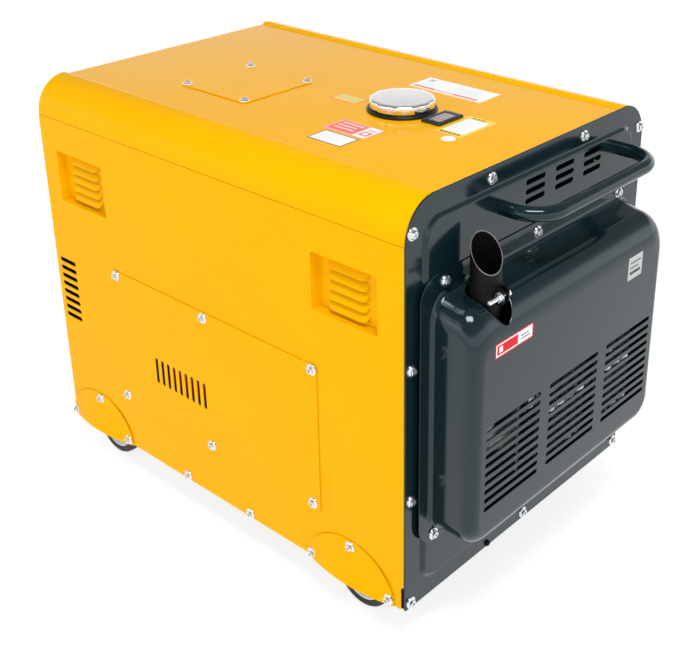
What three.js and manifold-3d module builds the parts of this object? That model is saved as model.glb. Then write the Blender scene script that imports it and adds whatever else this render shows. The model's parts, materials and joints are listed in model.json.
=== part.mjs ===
// Enclosed portable generator on castors, in millimetres with +Z up and the ground at z = 0.
// X runs along the length with the exhaust end at +X, and the service side faces -Y.
import * as THREE from "three";
import { mergeVertices } from "three/addons/utils/BufferGeometryUtils.js";
import Module from "manifold-3d";

const wasm = await Module();
wasm.setup();

// ---------------------------------------------------------------- driving dimensions
const LENGTH = 790; // sheet-metal body
const WIDTH = 556;
const BODY_HEIGHT = 620; // lower edge of the body to the flat of the roof
const CLEARANCE = 62; // ground to the lower edge of the body
const CORNER = 55; // radius of the roof's long edges
const CREST_RISE = 4; // how far the rolled edges stand above the flat roof
const SHEET = 2;
const GAP = 0.3; // left between pieces that touch
const FIELD_RISE = 5; // raised field of the end panels
const COVER_DEPTH = 80; // muffler cover, from the end panel's rim
const WHEEL_RADIUS = 50;
const WHEEL_WIDTH = 24;
const SHAFT_HEIGHT = 300; // crankshaft axis
const SHAFT_RADIUS = 15;

const END = LENGTH / 2;
const SIDE = WIDTH / 2;
const BOTTOM = CLEARANCE;
const ROOF = BOTTOM + BODY_HEIGHT;
const CREST = ROOF + CREST_RISE;
const SEAM = ROOF - CORNER + 1; // lower edge of the roof sheet
const SHEET_END = END - 3; // where the yellow sheets stop, behind the end panels

const FILLER = { x: 145, y: 2, ring: 53.5, cap: 50, neck: 43 };
const GAUGE = { x: 219, y: 6, wide: 36, long: 58 };
const HATCH = { x: -127, y: -61, size: 150 };
const ARCH = { wide: 86, tall: 71, bulge: 12, exhaustX: 290, controlX: -311 };
const STEER = { x: -289, y: 244 }; // kingpins of the steering castors
const HANDLE = { y: 62, z: BOTTOM + 561, half: 150, bend: 48, radius: 10.5 };
const PIPE = { x: END + 40, y: -167, radius: 21, wall: 1.8 };
const ACCESS = { x0: -228, x1: 233, z0: BOTTOM + 88, z1: BOTTOM + 337 };
const DOOR = { x0: -178, x1: 178, z0: 172, z1: 488 };

// ---------------------------------------------------------------- finishes
const finishes = {
  yellow: { color: 0xf7b20f, roughness: 0.35, metalness: 0.0 },
  slate: { color: 0x353f46, roughness: 0.3, metalness: 0.1 },
  black: { color: 0x17181a, roughness: 0.55, metalness: 0.1 },
  chrome: { color: 0xd9dbdc, roughness: 0.12, metalness: 1.0 },
  zinc: { color: 0xb9bcc0, roughness: 0.35, metalness: 0.9 },
  steel: { color: 0x8c8f93, roughness: 0.4, metalness: 0.9 },
  foil: { color: 0xc3c5c8, roughness: 0.3, metalness: 1.0 },
  castIron: { color: 0x4a4c4e, roughness: 0.7, metalness: 0.4 },
  aluminium: { color: 0xa9acaf, roughness: 0.45, metalness: 0.8 },
  rubber: { color: 0x161616, roughness: 0.8, metalness: 0.0 },
  plastic: { color: 0x202124, roughness: 0.45, metalness: 0.0 },
  red: { color: 0xb3201c, roughness: 0.4, metalness: 0.0 },
};

// ---------------------------------------------------------------- solids and booleans
function solidOf(geometry) {
  const flat = geometry.index ? geometry.toNonIndexed() : geometry;
  const bare = new THREE.BufferGeometry();
  bare.setAttribute("position", flat.getAttribute("position"));
  const merged = mergeVertices(bare, 1e-4);
  const corners = merged.index.array;
  const kept = [];
  for (let i = 0; i < corners.length; i += 3) {
    const [a, b, c] = corners.slice(i, i + 3);
    if (a !== b && b !== c && c !== a) kept.push(a, b, c);
  }
  const vertProperties = new Float32Array(merged.getAttribute("position").array);
  const triVerts = new Uint32Array(kept);
  return new wasm.Manifold(new wasm.Mesh({ numProp: 3, vertProperties, triVerts }));
}

function geometryOf(solid) {
  const { vertProperties, triVerts } = solid.getMesh();
  const geometry = new THREE.BufferGeometry();
  geometry.setAttribute("position", new THREE.BufferAttribute(vertProperties, 3));
  geometry.setIndex(new THREE.BufferAttribute(triVerts, 1));
  return geometry;
}

const join = (...pieces) => geometryOf(pieces.map(solidOf).reduce((a, b) => a.add(b)));
const cut = (piece, ...tools) =>
  geometryOf(tools.map(solidOf).reduce((a, b) => a.subtract(b), solidOf(piece)));

// ---------------------------------------------------------------- outlines and basic shapes
const arcPoints = (u, v, radiusU, radiusV, from, to, steps) =>
  Array.from({ length: steps + 1 }, (_, i) => {
    const a = from + ((to - from) * i) / steps;
    return new THREE.Vector2(u + radiusU * Math.cos(a), v + radiusV * Math.sin(a));
  });

// A rectangle from (u0, v0) to (u1, v1) with round corners, as a list of points.
function roundedPoints(u0, v0, u1, v1, radius, steps = 4) {
  const quarter = Math.PI / 2;
  const centres = [
    [u1 - radius, v1 - radius],
    [u0 + radius, v1 - radius],
    [u0 + radius, v0 + radius],
    [u1 - radius, v0 + radius],
  ];
  return centres.flatMap(([u, v], i) =>
    arcPoints(u, v, radius, radius, i * quarter, (i + 1) * quarter, steps),
  );
}

// A slot's outline: two half circles of the given width, joined by straight sides along u, or along v.
function slotPoints(u, v, length, width, alongV = false) {
  const r = width / 2;
  const reach = length / 2 - r;
  const turn = alongV ? Math.PI / 2 : 0;
  const du = alongV ? 0 : reach;
  const dv = alongV ? reach : 0;
  return [
    ...arcPoints(u + du, v + dv, r, r, turn - Math.PI / 2, turn + Math.PI / 2, 3),
    ...arcPoints(u - du, v - dv, r, r, turn + Math.PI / 2, turn + 1.5 * Math.PI, 3),
  ];
}

const X = new THREE.Vector3(1, 0, 0);
const Y = new THREE.Vector3(0, 1, 0);
const Z = new THREE.Vector3(0, 0, 1);
const TO_YZ = new THREE.Matrix4().makeBasis(Y, Z, X); // drawn as (y, z), thick towards +X
const TO_XZ = new THREE.Matrix4().makeBasis(X, Z, Y.clone().negate()); // drawn as (x, z), thick towards -Y
const TO_XY = new THREE.Matrix4(); // drawn as (x, y), thick towards +Z

// A flat piece: outline and holes drawn in a plane, thickened from `start` on.
function plate(outline, thickness, plane = TO_XY, start = 0, holes = []) {
  const shape = new THREE.Shape(outline);
  shape.holes = holes.map((points) => new THREE.Path(points));
  const geometry = new THREE.ExtrudeGeometry(shape, { depth: thickness, bevelEnabled: false });
  return geometry.translate(0, 0, plane === TO_XZ ? -start : start).applyMatrix4(plane);
}

function box(x0, x1, y0, y1, z0, z1) {
  const geometry = new THREE.BoxGeometry(x1 - x0, y1 - y0, z1 - z0);
  return geometry.translate((x0 + x1) / 2, (y0 + y1) / 2, (z0 + z1) / 2);
}

function rod(axis, from, to, radius, sides = 24) {
  const geometry = new THREE.CylinderGeometry(radius, radius, from.distanceTo(to), sides);
  const turn = new THREE.Quaternion().setFromUnitVectors(Y, axis);
  const middle = from.clone().add(to).multiplyScalar(0.5);
  return geometry.applyQuaternion(turn).translate(middle.x, middle.y, middle.z);
}
const at = (x, y, z) => new THREE.Vector3(x, y, z);
const rodX = (x0, x1, y, z, r, sides) => rod(X, at(x0, y, z), at(x1, y, z), r, sides);
const rodY = (x, y0, y1, z, r, sides) => rod(Y, at(x, y0, z), at(x, y1, z), r, sides);
const rodZ = (x, y, z0, z1, r, sides) => rod(Z, at(x, y, z0), at(x, y, z1), r, sides);

// A turned piece about its own Y axis, from a closed profile of [radius, height] pairs.
const turned = (profile, sides = 24) =>
  new THREE.LatheGeometry(profile.map(([r, h]) => new THREE.Vector2(r, h)), sides);

// A round bar that follows straight runs between corners, with a rounded bend at each inner corner.
function bentBar(corners, bend, radius, steps, sides = 12) {
  const path = new THREE.CurvePath();
  let start = corners[0];
  for (let i = 1; i < corners.length - 1; i++) {
    const back = corners[i - 1].clone().sub(corners[i]).normalize();
    const ahead = corners[i + 1].clone().sub(corners[i]).normalize();
    const enter = corners[i].clone().addScaledVector(back, bend);
    const leave = corners[i].clone().addScaledVector(ahead, bend);
    const pull = bend * 0.448; // a cubic curve's handle for a quarter circle, measured from the corner
    path.add(new THREE.LineCurve3(start, enter));
    path.add(
      new THREE.CubicBezierCurve3(
        enter,
        corners[i].clone().addScaledVector(back, pull),
        corners[i].clone().addScaledVector(ahead, pull),
        leave,
      ),
    );
    start = leave;
  }
  path.add(new THREE.LineCurve3(start, corners.at(-1)));
  const section = new THREE.Shape(arcPoints(0, 0, radius, radius, 0, 2 * Math.PI, sides).slice(0, sides));
  return new THREE.ExtrudeGeometry(section, { steps, extrudePath: path, bevelEnabled: false });
}

// A closed skin between an outer and an inner grid of points that have the same rows and columns.
// With `ring` the rows close on themselves; the last row is then capped by its own middle point.
function skin(outer, inner, ring = false) {
  const rows = outer.length;
  const columns = outer[0].length;
  const spots = [...outer.flat(), ...inner.flat()];
  const spot = (side, r, c) => side * rows * columns + r * columns + (c % columns);
  const faces = [];
  const quad = (a, b, c, d) => faces.push(a, b, c, a, c, d);
  const lastColumn = ring ? columns : columns - 1;
  for (let r = 0; r < rows - 1; r++)
    for (let c = 0; c < lastColumn; c++) {
      quad(spot(0, r, c), spot(0, r, c + 1), spot(0, r + 1, c + 1), spot(0, r + 1, c));
      quad(spot(1, r, c), spot(1, r + 1, c), spot(1, r + 1, c + 1), spot(1, r, c + 1));
    }
  for (let c = 0; c < lastColumn; c++)
    quad(spot(0, 0, c + 1), spot(0, 0, c), spot(1, 0, c), spot(1, 0, c + 1));
  if (ring)
    for (const side of [0, 1]) {
      const row = (side === 0 ? outer : inner).at(-1);
      const middle = row.reduce((sum, p) => sum.add(p), new THREE.Vector3()).divideScalar(columns);
      const hub = spots.push(middle) - 1;
      for (let c = 0; c < columns; c++) {
        const [a, b] = [spot(side, rows - 1, c), spot(side, rows - 1, c + 1)];
        faces.push(...(side === 0 ? [a, b, hub] : [b, a, hub]));
      }
    }
  else {
    for (let c = 0; c < lastColumn; c++) {
      const r = rows - 1;
      quad(spot(0, r, c), spot(0, r, c + 1), spot(1, r, c + 1), spot(1, r, c));
    }
    for (let r = 0; r < rows - 1; r++) {
      quad(spot(0, r, 0), spot(0, r + 1, 0), spot(1, r + 1, 0), spot(1, r, 0));
      const last = columns - 1;
      quad(spot(0, r + 1, last), spot(0, r, last), spot(1, r, last), spot(1, r + 1, last));
    }
  }
  const geometry = new THREE.BufferGeometry().setFromPoints(spots);
  geometry.setIndex(faces);
  return geometry;
}

// ---------------------------------------------------------------- the assembly
const generator = new THREE.Group();

function add(name, finish, geometry, parent = generator) {
  const { color, roughness, metalness } = finishes[finish];
  const mesh = new THREE.Mesh(geometry, new THREE.MeshStandardMaterial({ color, roughness, metalness }));
  mesh.name = name;
  parent.add(mesh);
  return mesh;
}

function groupAt(x, y, z, parent = generator) {
  const group = new THREE.Group();
  group.position.set(x, y, z);
  parent.add(group);
  return group;
}

// ---------------------------------------------------------------- base
const FLOOR_TOP = 130;
const RAIL_TOP = 165;
const RAIL_Y = 90;

function basePan() {
  const slots = [-220, -110, 0, 110, 220].map((x) => slotPoints(x, 0, 80, 12));
  const floor = plate(
    roundedPoints(-SHEET_END + 2, -SIDE + 4, SHEET_END - 2, SIDE - 4, 6, 1),
    4,
    TO_XY,
    FLOOR_TOP - 4,
    slots,
  );
  // Each bed rail passes through the floor and ends in a bearing face below it.
  const rails = [-RAIL_Y, RAIL_Y].map((y) => box(-300, 200, y - 20, y + 20, FLOOR_TOP - 7, RAIL_TOP));
  const [px, py] = [STEER.x, STEER.y];
  const pads = [-1, 1].map((s) => box(px - 54, px + 54, s * py - 28, s * py + 28, 120, FLOOR_TOP - 3));
  return join(floor, ...rails, ...pads);
}
add("base_pan", "black", basePan());

// ---------------------------------------------------------------- yellow sheet metal
const archOutline = (x, wide, tall) => arcPoints(x, BOTTOM, wide, tall, Math.PI, 0, 10);

// The side sheet's outline: square corners with a small notch by the exhaust end, and an arch at each end.
function sidePoints() {
  const [wide, tall] = [ARCH.wide - 12, ARCH.tall - 12];
  const notch = { deep: 5, tall: 38 };
  return [
    new THREE.Vector2(-END, BOTTOM),
    ...archOutline(ARCH.controlX, wide, tall),
    ...archOutline(ARCH.exhaustX, wide, tall),
    new THREE.Vector2(SHEET_END - notch.deep, BOTTOM),
    new THREE.Vector2(SHEET_END - notch.deep, BOTTOM + notch.tall),
    new THREE.Vector2(SHEET_END, BOTTOM + notch.tall + notch.deep),
    new THREE.Vector2(SHEET_END, SEAM - GAP),
    new THREE.Vector2(-END, SEAM - GAP),
  ];
}

const LOUVRE_WINDOWS = [-295, 287].map((x) => ({ x, z: BOTTOM + 468, wide: 120, tall: 86 }));
const windowPoints = ({ x, z, wide, tall }) =>
  roundedPoints(x - wide / 2, z - tall / 2, x + wide / 2, z + tall / 2, 3, 1);

// Eight level slots in a stack by the control end.
const slotStack = Array.from({ length: 8 }, (_, i) => slotPoints(-363, BOTTOM + 204 + 15 * i, 44, 8));

function sidePanel(opening, start) {
  const holes = [...LOUVRE_WINDOWS.map(windowPoints), ...slotStack, opening];
  return plate(sidePoints(), SHEET, TO_XZ, start, holes);
}
const inner = (area, border) =>
  roundedPoints(area.x0 + border, area.z0 + border, area.x1 - border, area.z1 - border, 10, 3);
add("side_panel_service", "yellow", sidePanel(inner(ACCESS, 22), -SIDE + SHEET));
add("side_panel_door", "yellow", sidePanel(inner(DOOR, 8), SIDE));

// Screwed cover over the service opening, with nine upright cooling slots.
function accessPanel() {
  const slots = Array.from({ length: 9 }, (_, i) => slotPoints(-135 + 14.7 * i, BOTTOM + 186, 46, 7, true));
  const outline = roundedPoints(ACCESS.x0, ACCESS.z0, ACCESS.x1, ACCESS.z1, 10, 3);
  return plate(outline, 1.5, TO_XZ, -SIDE - GAP, slots);
}
add("access_panel", "yellow", accessPanel());

// Wheel-arch cover: half an ellipse that bows outwards towards its lower edge.
function archCover(x, side) {
  const thick = 1.5;
  const rows = 5;
  const columns = 10;
  const grid = (inset) =>
    Array.from({ length: rows + 1 }, (_, r) => {
      const rise = (r / rows) * 1.45; // angle up the ellipse, short of its top
      const half = ARCH.wide * Math.cos(rise);
      const z = ARCH.tall * Math.sin(rise);
      return Array.from({ length: columns + 1 }, (_, c) => {
        const u = (2 * c) / columns - 1;
        const bow = ARCH.bulge * (1 - ((u * half) / ARCH.wide) ** 2) * (1 - z / ARCH.tall) ** 1.5;
        return new THREE.Vector3(x + u * half, side * (SIDE + GAP + thick - inset + bow), BOTTOM + z);
      });
    });
  const [outer, back] = [grid(0), grid(thick)];
  return side < 0 ? skin(outer, back) : skin(back, outer);
}
for (const [end, x] of [["exhaust", ARCH.exhaustX], ["control", ARCH.controlX]])
  for (const [name, side] of [["service", -1], ["door", 1]])
    add(`arch_cover_${end}_${name}`, "yellow", archCover(x, side));

// Pressed louvre tray that sits behind a window of the side sheet.
const LOUVRE = { depth: 11.5, flange: 8, wall: 1.5, long: 84, pitch: 15.5, count: 5 };
function louvreTray({ x, z, wide, tall }, side) {
  const back = SIDE - SHEET - GAP;
  const [halfW, halfT] = [wide / 2, tall / 2];
  const rect = (grow) =>
    roundedPoints(x - halfW - grow, z - halfT - grow, x + halfW + grow, z + halfT + grow, 4, 1);
  const start = (y) => (side < 0 ? -y : y); // distance inwards is measured from the side sheet
  const slab = (outline, from, to, holes = []) =>
    plate(outline, to - from, TO_XZ, side < 0 ? start(back - to) : start(back - from), holes);
  const flange = slab(rect(LOUVRE.flange), 0, LOUVRE.wall, [rect(0)]);
  const walls = slab(rect(LOUVRE.wall), 0, LOUVRE.depth, [rect(0)]);
  const floor = slab(rect(LOUVRE.wall), LOUVRE.depth - LOUVRE.wall, LOUVRE.depth);
  const fins = Array.from({ length: LOUVRE.count }, (_, i) => {
    const level = z + (i - (LOUVRE.count - 1) / 2) * LOUVRE.pitch;
    const y = side * (back - LOUVRE.depth + LOUVRE.wall - 0.5);
    const profile = [
      new THREE.Vector2(y, level + 6),
      new THREE.Vector2(y, level - 5),
      new THREE.Vector2(y + side * 7, level - 5),
      new THREE.Vector2(y + side * 7, level - 3.5),
    ];
    const fin = plate(side < 0 ? profile : profile.reverse(), LOUVRE.long, TO_YZ, x - LOUVRE.long / 2);
    return fin;
  });
  return join(flange, walls, floor, ...fins);
}
for (const [window, end] of [[LOUVRE_WINDOWS[0], "control"], [LOUVRE_WINDOWS[1], "exhaust"]])
  for (const [name, side] of [["service", -1], ["door", 1]])
    add(`louvre_tray_${end}_${name}`, "yellow", louvreTray(window, side));

// Half of the roof's section, from the seam up over the rolled edge to the flat; `inset` moves it inwards.
function roofHalf(inset) {
  const centre = -SIDE + CORNER;
  const edge = arcPoints(centre, SEAM, CORNER - inset, CREST - SEAM - inset, Math.PI, Math.PI / 2, 8);
  return [...edge, new THREE.Vector2(centre + 5, ROOF - inset)];
}
function roofSection() {
  const mirrored = (points) => points.map((p) => new THREE.Vector2(-p.x, p.y)).reverse();
  const [outside, inside] = [roofHalf(0), roofHalf(SHEET)];
  return [...outside, ...mirrored(outside), ...[...inside, ...mirrored(inside)].reverse()];
}
function roofCover() {
  const sheet = plate(roofSection(), END + SHEET_END, TO_YZ, -END);
  const filler = rodZ(FILLER.x, FILLER.y, ROOF - 20, ROOF + 20, FILLER.neck + 2, 32);
  const gauge = box(GAUGE.x - 13, GAUGE.x + 13, GAUGE.y - 19, GAUGE.y + 19, ROOF - 20, ROOF + 20);
  return cut(sheet, filler, gauge);
}
add("roof_cover", "yellow", roofCover());

const hatchPoints = roundedPoints(-HATCH.size / 2, -HATCH.size / 2, HATCH.size / 2, HATCH.size / 2, 8, 3);
add("roof_hatch", "yellow", plate(hatchPoints, 1.5), groupAt(HATCH.x, HATCH.y, ROOF + GAP));

// ---------------------------------------------------------------- end panels
function endOutline() {
  const edge = (side, from, to) => arcPoints(side * (SIDE - CORNER), SEAM, CORNER, CREST - SEAM, from, to, 8);
  return [
    new THREE.Vector2(-SIDE, BOTTOM),
    new THREE.Vector2(SIDE, BOTTOM),
    ...edge(1, 0, Math.PI / 2),
    ...edge(-1, Math.PI / 2, Math.PI),
  ];
}

// The control end panel sits inside the sheets, flush with their ends.
function insetOutline(inset) {
  const half = roofHalf(inset);
  const mirrored = half.map((p) => new THREE.Vector2(-p.x, p.y)).reverse();
  return [
    new THREE.Vector2(SIDE - inset, BOTTOM),
    new THREE.Vector2(-SIDE + inset, BOTTOM),
    ...half,
    ...mirrored,
  ].reverse();
}

// The raised field is a flat-topped frustum whose edge slopes over `slope`.
const FIELD = { half: 247, z0: BOTTOM + 29, z1: BOTTOM + 595, radius: 30, slope: 7 };
function fieldBlock(shrink, from, to) {
  const steps = 4;
  const ring = (inset, x) => {
    const half = FIELD.half - inset;
    const outline = roundedPoints(-half, FIELD.z0 + inset, half, FIELD.z1 - inset, FIELD.radius, steps);
    return outline.map((p) => at(x, p.x, p.y));
  };
  const [low, high] = [ring(shrink, from), ring(shrink + FIELD.slope, to)];
  const count = low.length;
  const faces = [];
  for (let i = 0; i < count; i++) {
    const j = (i + 1) % count;
    faces.push(i, j, count + j, i, count + j, count + i);
    if (i > 0 && i < count - 1) faces.push(0, i + 1, i, count, count + i, count + i + 1);
  }
  const geometry = new THREE.BufferGeometry().setFromPoints([...low, ...high]);
  geometry.setIndex(faces);
  return geometry;
}

function endPanel(side, tools) {
  const start = side > 0 ? END - SHEET : -END;
  const rim = plate(side > 0 ? endOutline() : insetOutline(SHEET + GAP), SHEET, TO_YZ, start);
  const mirror = (geometry) => (side > 0 ? geometry : geometry.rotateZ(Math.PI));
  const boss = mirror(fieldBlock(0, END - 1, END + FIELD_RISE));
  const hollow = mirror(fieldBlock(SHEET * 0.7, END - SHEET - 1, END + FIELD_RISE - SHEET));
  return cut(join(rim, boss), hollow, ...tools);
}

const through = (outline, side) => plate(outline, 60, TO_YZ, side > 0 ? END - 30 : -END - 30);

// Exhaust end: three short columns of slots under the roof and an air outlet behind the muffler cover.
function exhaustEndTools() {
  const columns = [-12.5, 58.5, 130];
  const rows = [BOTTOM + 580, BOTTOM + 566, BOTTOM + 552];
  const slots = columns.flatMap((y) => rows.map((z) => through(slotPoints(y, z, 48, 8), 1)));
  const outlets = [-90, 0, 90].map((y) =>
    through(roundedPoints(y - 40, BOTTOM + 32, y + 40, BOTTOM + 72, 6, 2), 1),
  );
  return [...slots, ...outlets, rodX(END - 30, END + 30, 35, 340, 22, 16)];
}
add("exhaust_end_panel", "slate", endPanel(1, exhaustEndTools()));

// Control end: two columns of air-inlet slots below the control panel.
function controlEndTools() {
  const slots = [];
  for (const y of [-110, 110])
    for (let i = 0; i < 8; i++) slots.push(through(slotPoints(y, BOTTOM + 90 + 18 * i, 120, 9), -1));
  return slots;
}
add("control_end_panel", "slate", endPanel(-1, controlEndTools()));

// U-shaped carrying handle, bent from round tube and standing out from the end panel.
function handle() {
  const root = END + FIELD_RISE + GAP;
  const reach = END + COVER_DEPTH - HANDLE.radius;
  const [left, right] = [-HANDLE.half, HANDLE.half];
  const corners = [at(root, left, 0), at(reach, left, 0), at(reach, right, 0), at(root, right, 0)];
  return bentBar(corners, HANDLE.bend, HANDLE.radius, 28, 12);
}
add("handle_exhaust_end", "slate", handle(), groupAt(0, HANDLE.y, HANDLE.z));
const controlHandle = groupAt(0, 0, HANDLE.z);
controlHandle.rotation.z = Math.PI;
add("handle_control_end", "slate", handle(), controlHandle);

// ---------------------------------------------------------------- muffler cover
// A pressed bowl: a flat flange, then rings that follow the side wall, the shoulder and the flat front.
const COVER = { flangeHalf: 257, z0: BOTTOM + 99, z1: BOTTOM + 514, wall: 2.5, half: 235, round: 20 };
const SHOULDER = { foot: BOTTOM + 484, start: 40, front: BOTTOM + 424 };
const COVER_FOOT = BOTTOM + 116;
const COVER_FRONT_FOOT = BOTTOM + 134;

// The bowl's outline at depth x from the rim plane, as {half, low, high, radius}.
function coverRing(x) {
  const roundStart = COVER_DEPTH - COVER.round;
  const a = Math.max(0, (x - roundStart) / COVER.round);
  const roll = COVER.round * (1 - Math.sqrt(Math.max(0, 1 - a * a)));
  const span = COVER_DEPTH - SHOULDER.start;
  const b = Math.max(0, (x - SHOULDER.start) / span);
  const slopeEnd = SHOULDER.foot - 0.25 * (SHOULDER.start - FIELD_RISE);
  const high =
    x <= SHOULDER.start
      ? SHOULDER.foot - 0.25 * (x - FIELD_RISE)
      : SHOULDER.front + (slopeEnd - SHOULDER.front) * Math.sqrt(Math.max(0, 1 - b * b));
  const slope = ((COVER_FRONT_FOOT - COVER.round - COVER_FOOT) * x) / COVER_DEPTH;
  const low = COVER_FOOT + Math.max(0, slope) + roll;
  return { half: COVER.half - roll, low, high, radius: 34 - roll * 0.5 };
}

function coverRows(offset) {
  const base = FIELD_RISE + GAP;
  const ringAt = ({ half, low, high, radius }, x) =>
    roundedPoints(-half, low, half, high, radius, 5).map((p) => new THREE.Vector3(END + x, p.x, p.y));
  const flange = { half: COVER.flangeHalf, low: COVER.z0, high: COVER.z1, radius: 34 };
  const rows = [ringAt(flange, base + (offset ? 0 : 2))];
  const depths = [8, 24, 40, 52, 60, 66, 71, 75, 78, 79.5, COVER_DEPTH];
  for (const depth of depths) {
    const ring = coverRing(depth);
    const shrunk = {
      half: ring.half - offset,
      low: ring.low + offset,
      high: ring.high - offset,
      radius: ring.radius - offset,
    };
    const lift = depth === depths[0] ? (offset ? base : base + 2) : depth - offset;
    rows.push(ringAt(shrunk, lift));
  }
  return rows;
}

function mufflerCover() {
  const shell = skin(coverRows(0), coverRows(COVER.wall), true);
  const front = (outline) => plate(outline, 30, TO_YZ, END + COVER_DEPTH - 15);
  const slots = [-146, -0.5, 145].flatMap((y) =>
    Array.from({ length: 10 }, (_, i) => front(slotPoints(y, BOTTOM + 175 + 14.2 * i, 124, 7.2))),
  );
  const [x0, x1] = [END + 12, END + 77];
  const pipeHole = plate(roundedPoints(x0, PIPE.y - 25, x1, PIPE.y + 25, 24, 5), 120, TO_XY, BOTTOM + 400);
  return cut(shell, ...slots, pipeHole);
}
add("muffler_cover", "slate", mufflerCover());

// ---------------------------------------------------------------- exhaust
// Flat oval muffler inside the cover. Its inlet comes through the end panel, and its outlet bends up into
// the tail pipe. Gas runs from the cylinder head's flange through the drum to the open end.
const MUFFLER = { x0: END + 12, x1: END + 64, y0: -118, y1: 170, z0: 218, z1: 386, wall: 2 };
const HEADER = { x: 111.5, y: 35, z: 500 }; // where the pipe from the cylinder head starts
function muffler() {
  const { x0, x1, y0, y1, z0, z1, wall } = MUFFLER;
  const r = (x1 - x0) / 2 - 0.5;
  const oval = (grow) => roundedPoints(x0 - grow, z0 - grow, x1 + grow, z1 + grow, r + grow, 4);
  const drum = plate(oval(0), y1 - y0, TO_XZ, y1);
  const rims = [y0 + 6, y1 + 1].map((y) => plate(oval(2), 7, TO_XZ, y));
  const chamber = plate(oval(-wall), y1 - y0 - 2 * wall, TO_XZ, y1 - wall);
  const outlet = (radius) =>
    bentBar([at(PIPE.x, -110, 300), at(PIPE.x, PIPE.y, 300), at(PIPE.x, PIPE.y, 530)], 30, radius, 11, 12);
  const { x, y, z } = HEADER;
  const down = [at(END + 20, y, 340), at(250, y, 340), at(250, y, z), at(x + 4, y, z)];
  const inlet = (radius) => bentBar(down, 40, radius, 18, 12);
  const flange = box(x, x + 8, y - 20, y + 20, z - 28, z + 28);
  const mouth = rodZ(PIPE.x, PIPE.y, 470, 540, 16, 12);
  const metal = join(drum, ...rims, outlet(18), inlet(15), flange);
  return cut(metal, chamber, outlet(16), inlet(13), mouth);
}
add("muffler", "steel", muffler());

// Crinkled foil sheet that keeps the muffler's heat off the cover.
function heatShield() {
  const folds = 22;
  const [y0, y1] = [-110, 165];
  const line = (shift) =>
    Array.from({ length: folds + 1 }, (_, i) => {
      const wave = i % 2 === 0 ? 1.3 : -1.3;
      return new THREE.Vector2(END + 69.5 + wave + shift, y0 + ((y1 - y0) * i) / folds);
    });
  return plate([...line(0.6), ...line(-0.6).reverse()], 190, TO_XY, 205);
}
add("heat_shield", "foil", heatShield());

// Slash-cut tail pipe with a pair of clamping ears on its split collar.
const SLASH = { top: BOTTOM + 557, drop: 46, foot: BOTTOM + 440 };
function tailPipe() {
  const tube = cut(
    rodZ(0, 0, SLASH.foot, SLASH.top, PIPE.radius, 28),
    rodZ(0, 0, SLASH.foot - 1, SLASH.top + 1, PIPE.radius - PIPE.wall, 28),
  );
  const ears = [-7, 4].map((y) => box(18, 34, y, y + 3, BOTTOM + 471, BOTTOM + 493));
  const bore = rodZ(0, 0, SLASH.foot - 1, SLASH.top + 1, PIPE.radius - PIPE.wall, 28);
  const boltHole = rodY(28, -20, 20, BOTTOM + 482, 3.4, 12);
  const slant = new THREE.BoxGeometry(200, 200, 100).translate(0, 0, 50);
  slant.rotateY(Math.atan(SLASH.drop / (2 * PIPE.radius)));
  slant.translate(0, 0, SLASH.top - SLASH.drop / 2);
  return cut(join(tube, ...ears), bore, slant, boltHole);
}
add("tail_pipe", "black", tailPipe(), groupAt(PIPE.x, PIPE.y, 0));

// Bolt and nut through the ears.
function clampBolt() {
  const [x, z] = [28, BOTTOM + 482];
  const shank = rodY(x, -30, 12, z, 3, 12);
  const nut = rodY(x, -13, -7.4, z, 5.8, 6);
  const head = rodY(x, 7.4, 12, z, 5.8, 6);
  return join(shank, nut, head);
}
add("clamp_bolt", "zinc", clampBolt(), groupAt(PIPE.x, PIPE.y, 0));

// ---------------------------------------------------------------- fuel system
const TANK = { x0: -230, x1: 280, half: 195, z0: 588, z1: 668, wall: 3 };
function fuelTank() {
  const body = (inset) =>
    plate(
      roundedPoints(TANK.x0 + inset, -TANK.half + inset, TANK.x1 - inset, TANK.half - inset, 25 - inset, 4),
      TANK.z1 - TANK.z0 - 2 * inset,
      TO_XY,
      TANK.z0 + inset,
    );
  const neck = rodZ(FILLER.x, FILLER.y, TANK.z1 - 2, ROOF + 4, FILLER.neck, 32);
  const throat = rodZ(FILLER.x, FILLER.y, TANK.z1 - 20, ROOF + 10, FILLER.neck - TANK.wall, 32);
  const sender = box(GAUGE.x - 11, GAUGE.x + 11, GAUGE.y - 17, GAUGE.y + 17, TANK.z1 - 20, TANK.z1 + 10);
  return cut(join(body(0), neck), body(TANK.wall), throat, sender);
}
add("fuel_tank", "black", fuelTank());

// Rubber ring between the roof and the filler cap.
const ringProfile = [
  [FILLER.neck + 1.5, 0],
  [FILLER.ring, 0],
  [FILLER.ring, 3],
  [FILLER.ring - 2, 5.5],
  [FILLER.neck + 1.5, 5.5],
  [FILLER.neck + 1.5, 0],
];
const uprightAt = (x, y, z) => {
  const group = groupAt(x, y, z);
  group.rotation.x = Math.PI / 2;
  return group;
};
add("filler_gasket", "rubber", turned(ringProfile, 32), uprightAt(FILLER.x, FILLER.y, ROOF + GAP));

// Filler cap with a scalloped rim and a plug that turns inside the neck.
function fuelCap() {
  const lobes = 12;
  const rim = Array.from({ length: lobes * 4 }, (_, i) => {
    const a = (i / (lobes * 4)) * 2 * Math.PI;
    const r = FILLER.cap - 0.9 + 0.9 * Math.cos(lobes * a);
    return new THREE.Vector2(r * Math.cos(a), r * Math.sin(a));
  });
  const crown = new THREE.ExtrudeGeometry(new THREE.Shape(rim), {
    depth: 9.5,
    bevelThickness: 2,
    bevelSize: 2.5,
    bevelOffset: -2.5,
    bevelSegments: 1,
  });
  return join(crown, rodZ(0, 0, -12, 0, FILLER.neck - TANK.wall - 1, 24));
}
add("fuel_cap", "chrome", fuelCap(), groupAt(FILLER.x, FILLER.y, ROOF + 8.1));

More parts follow.
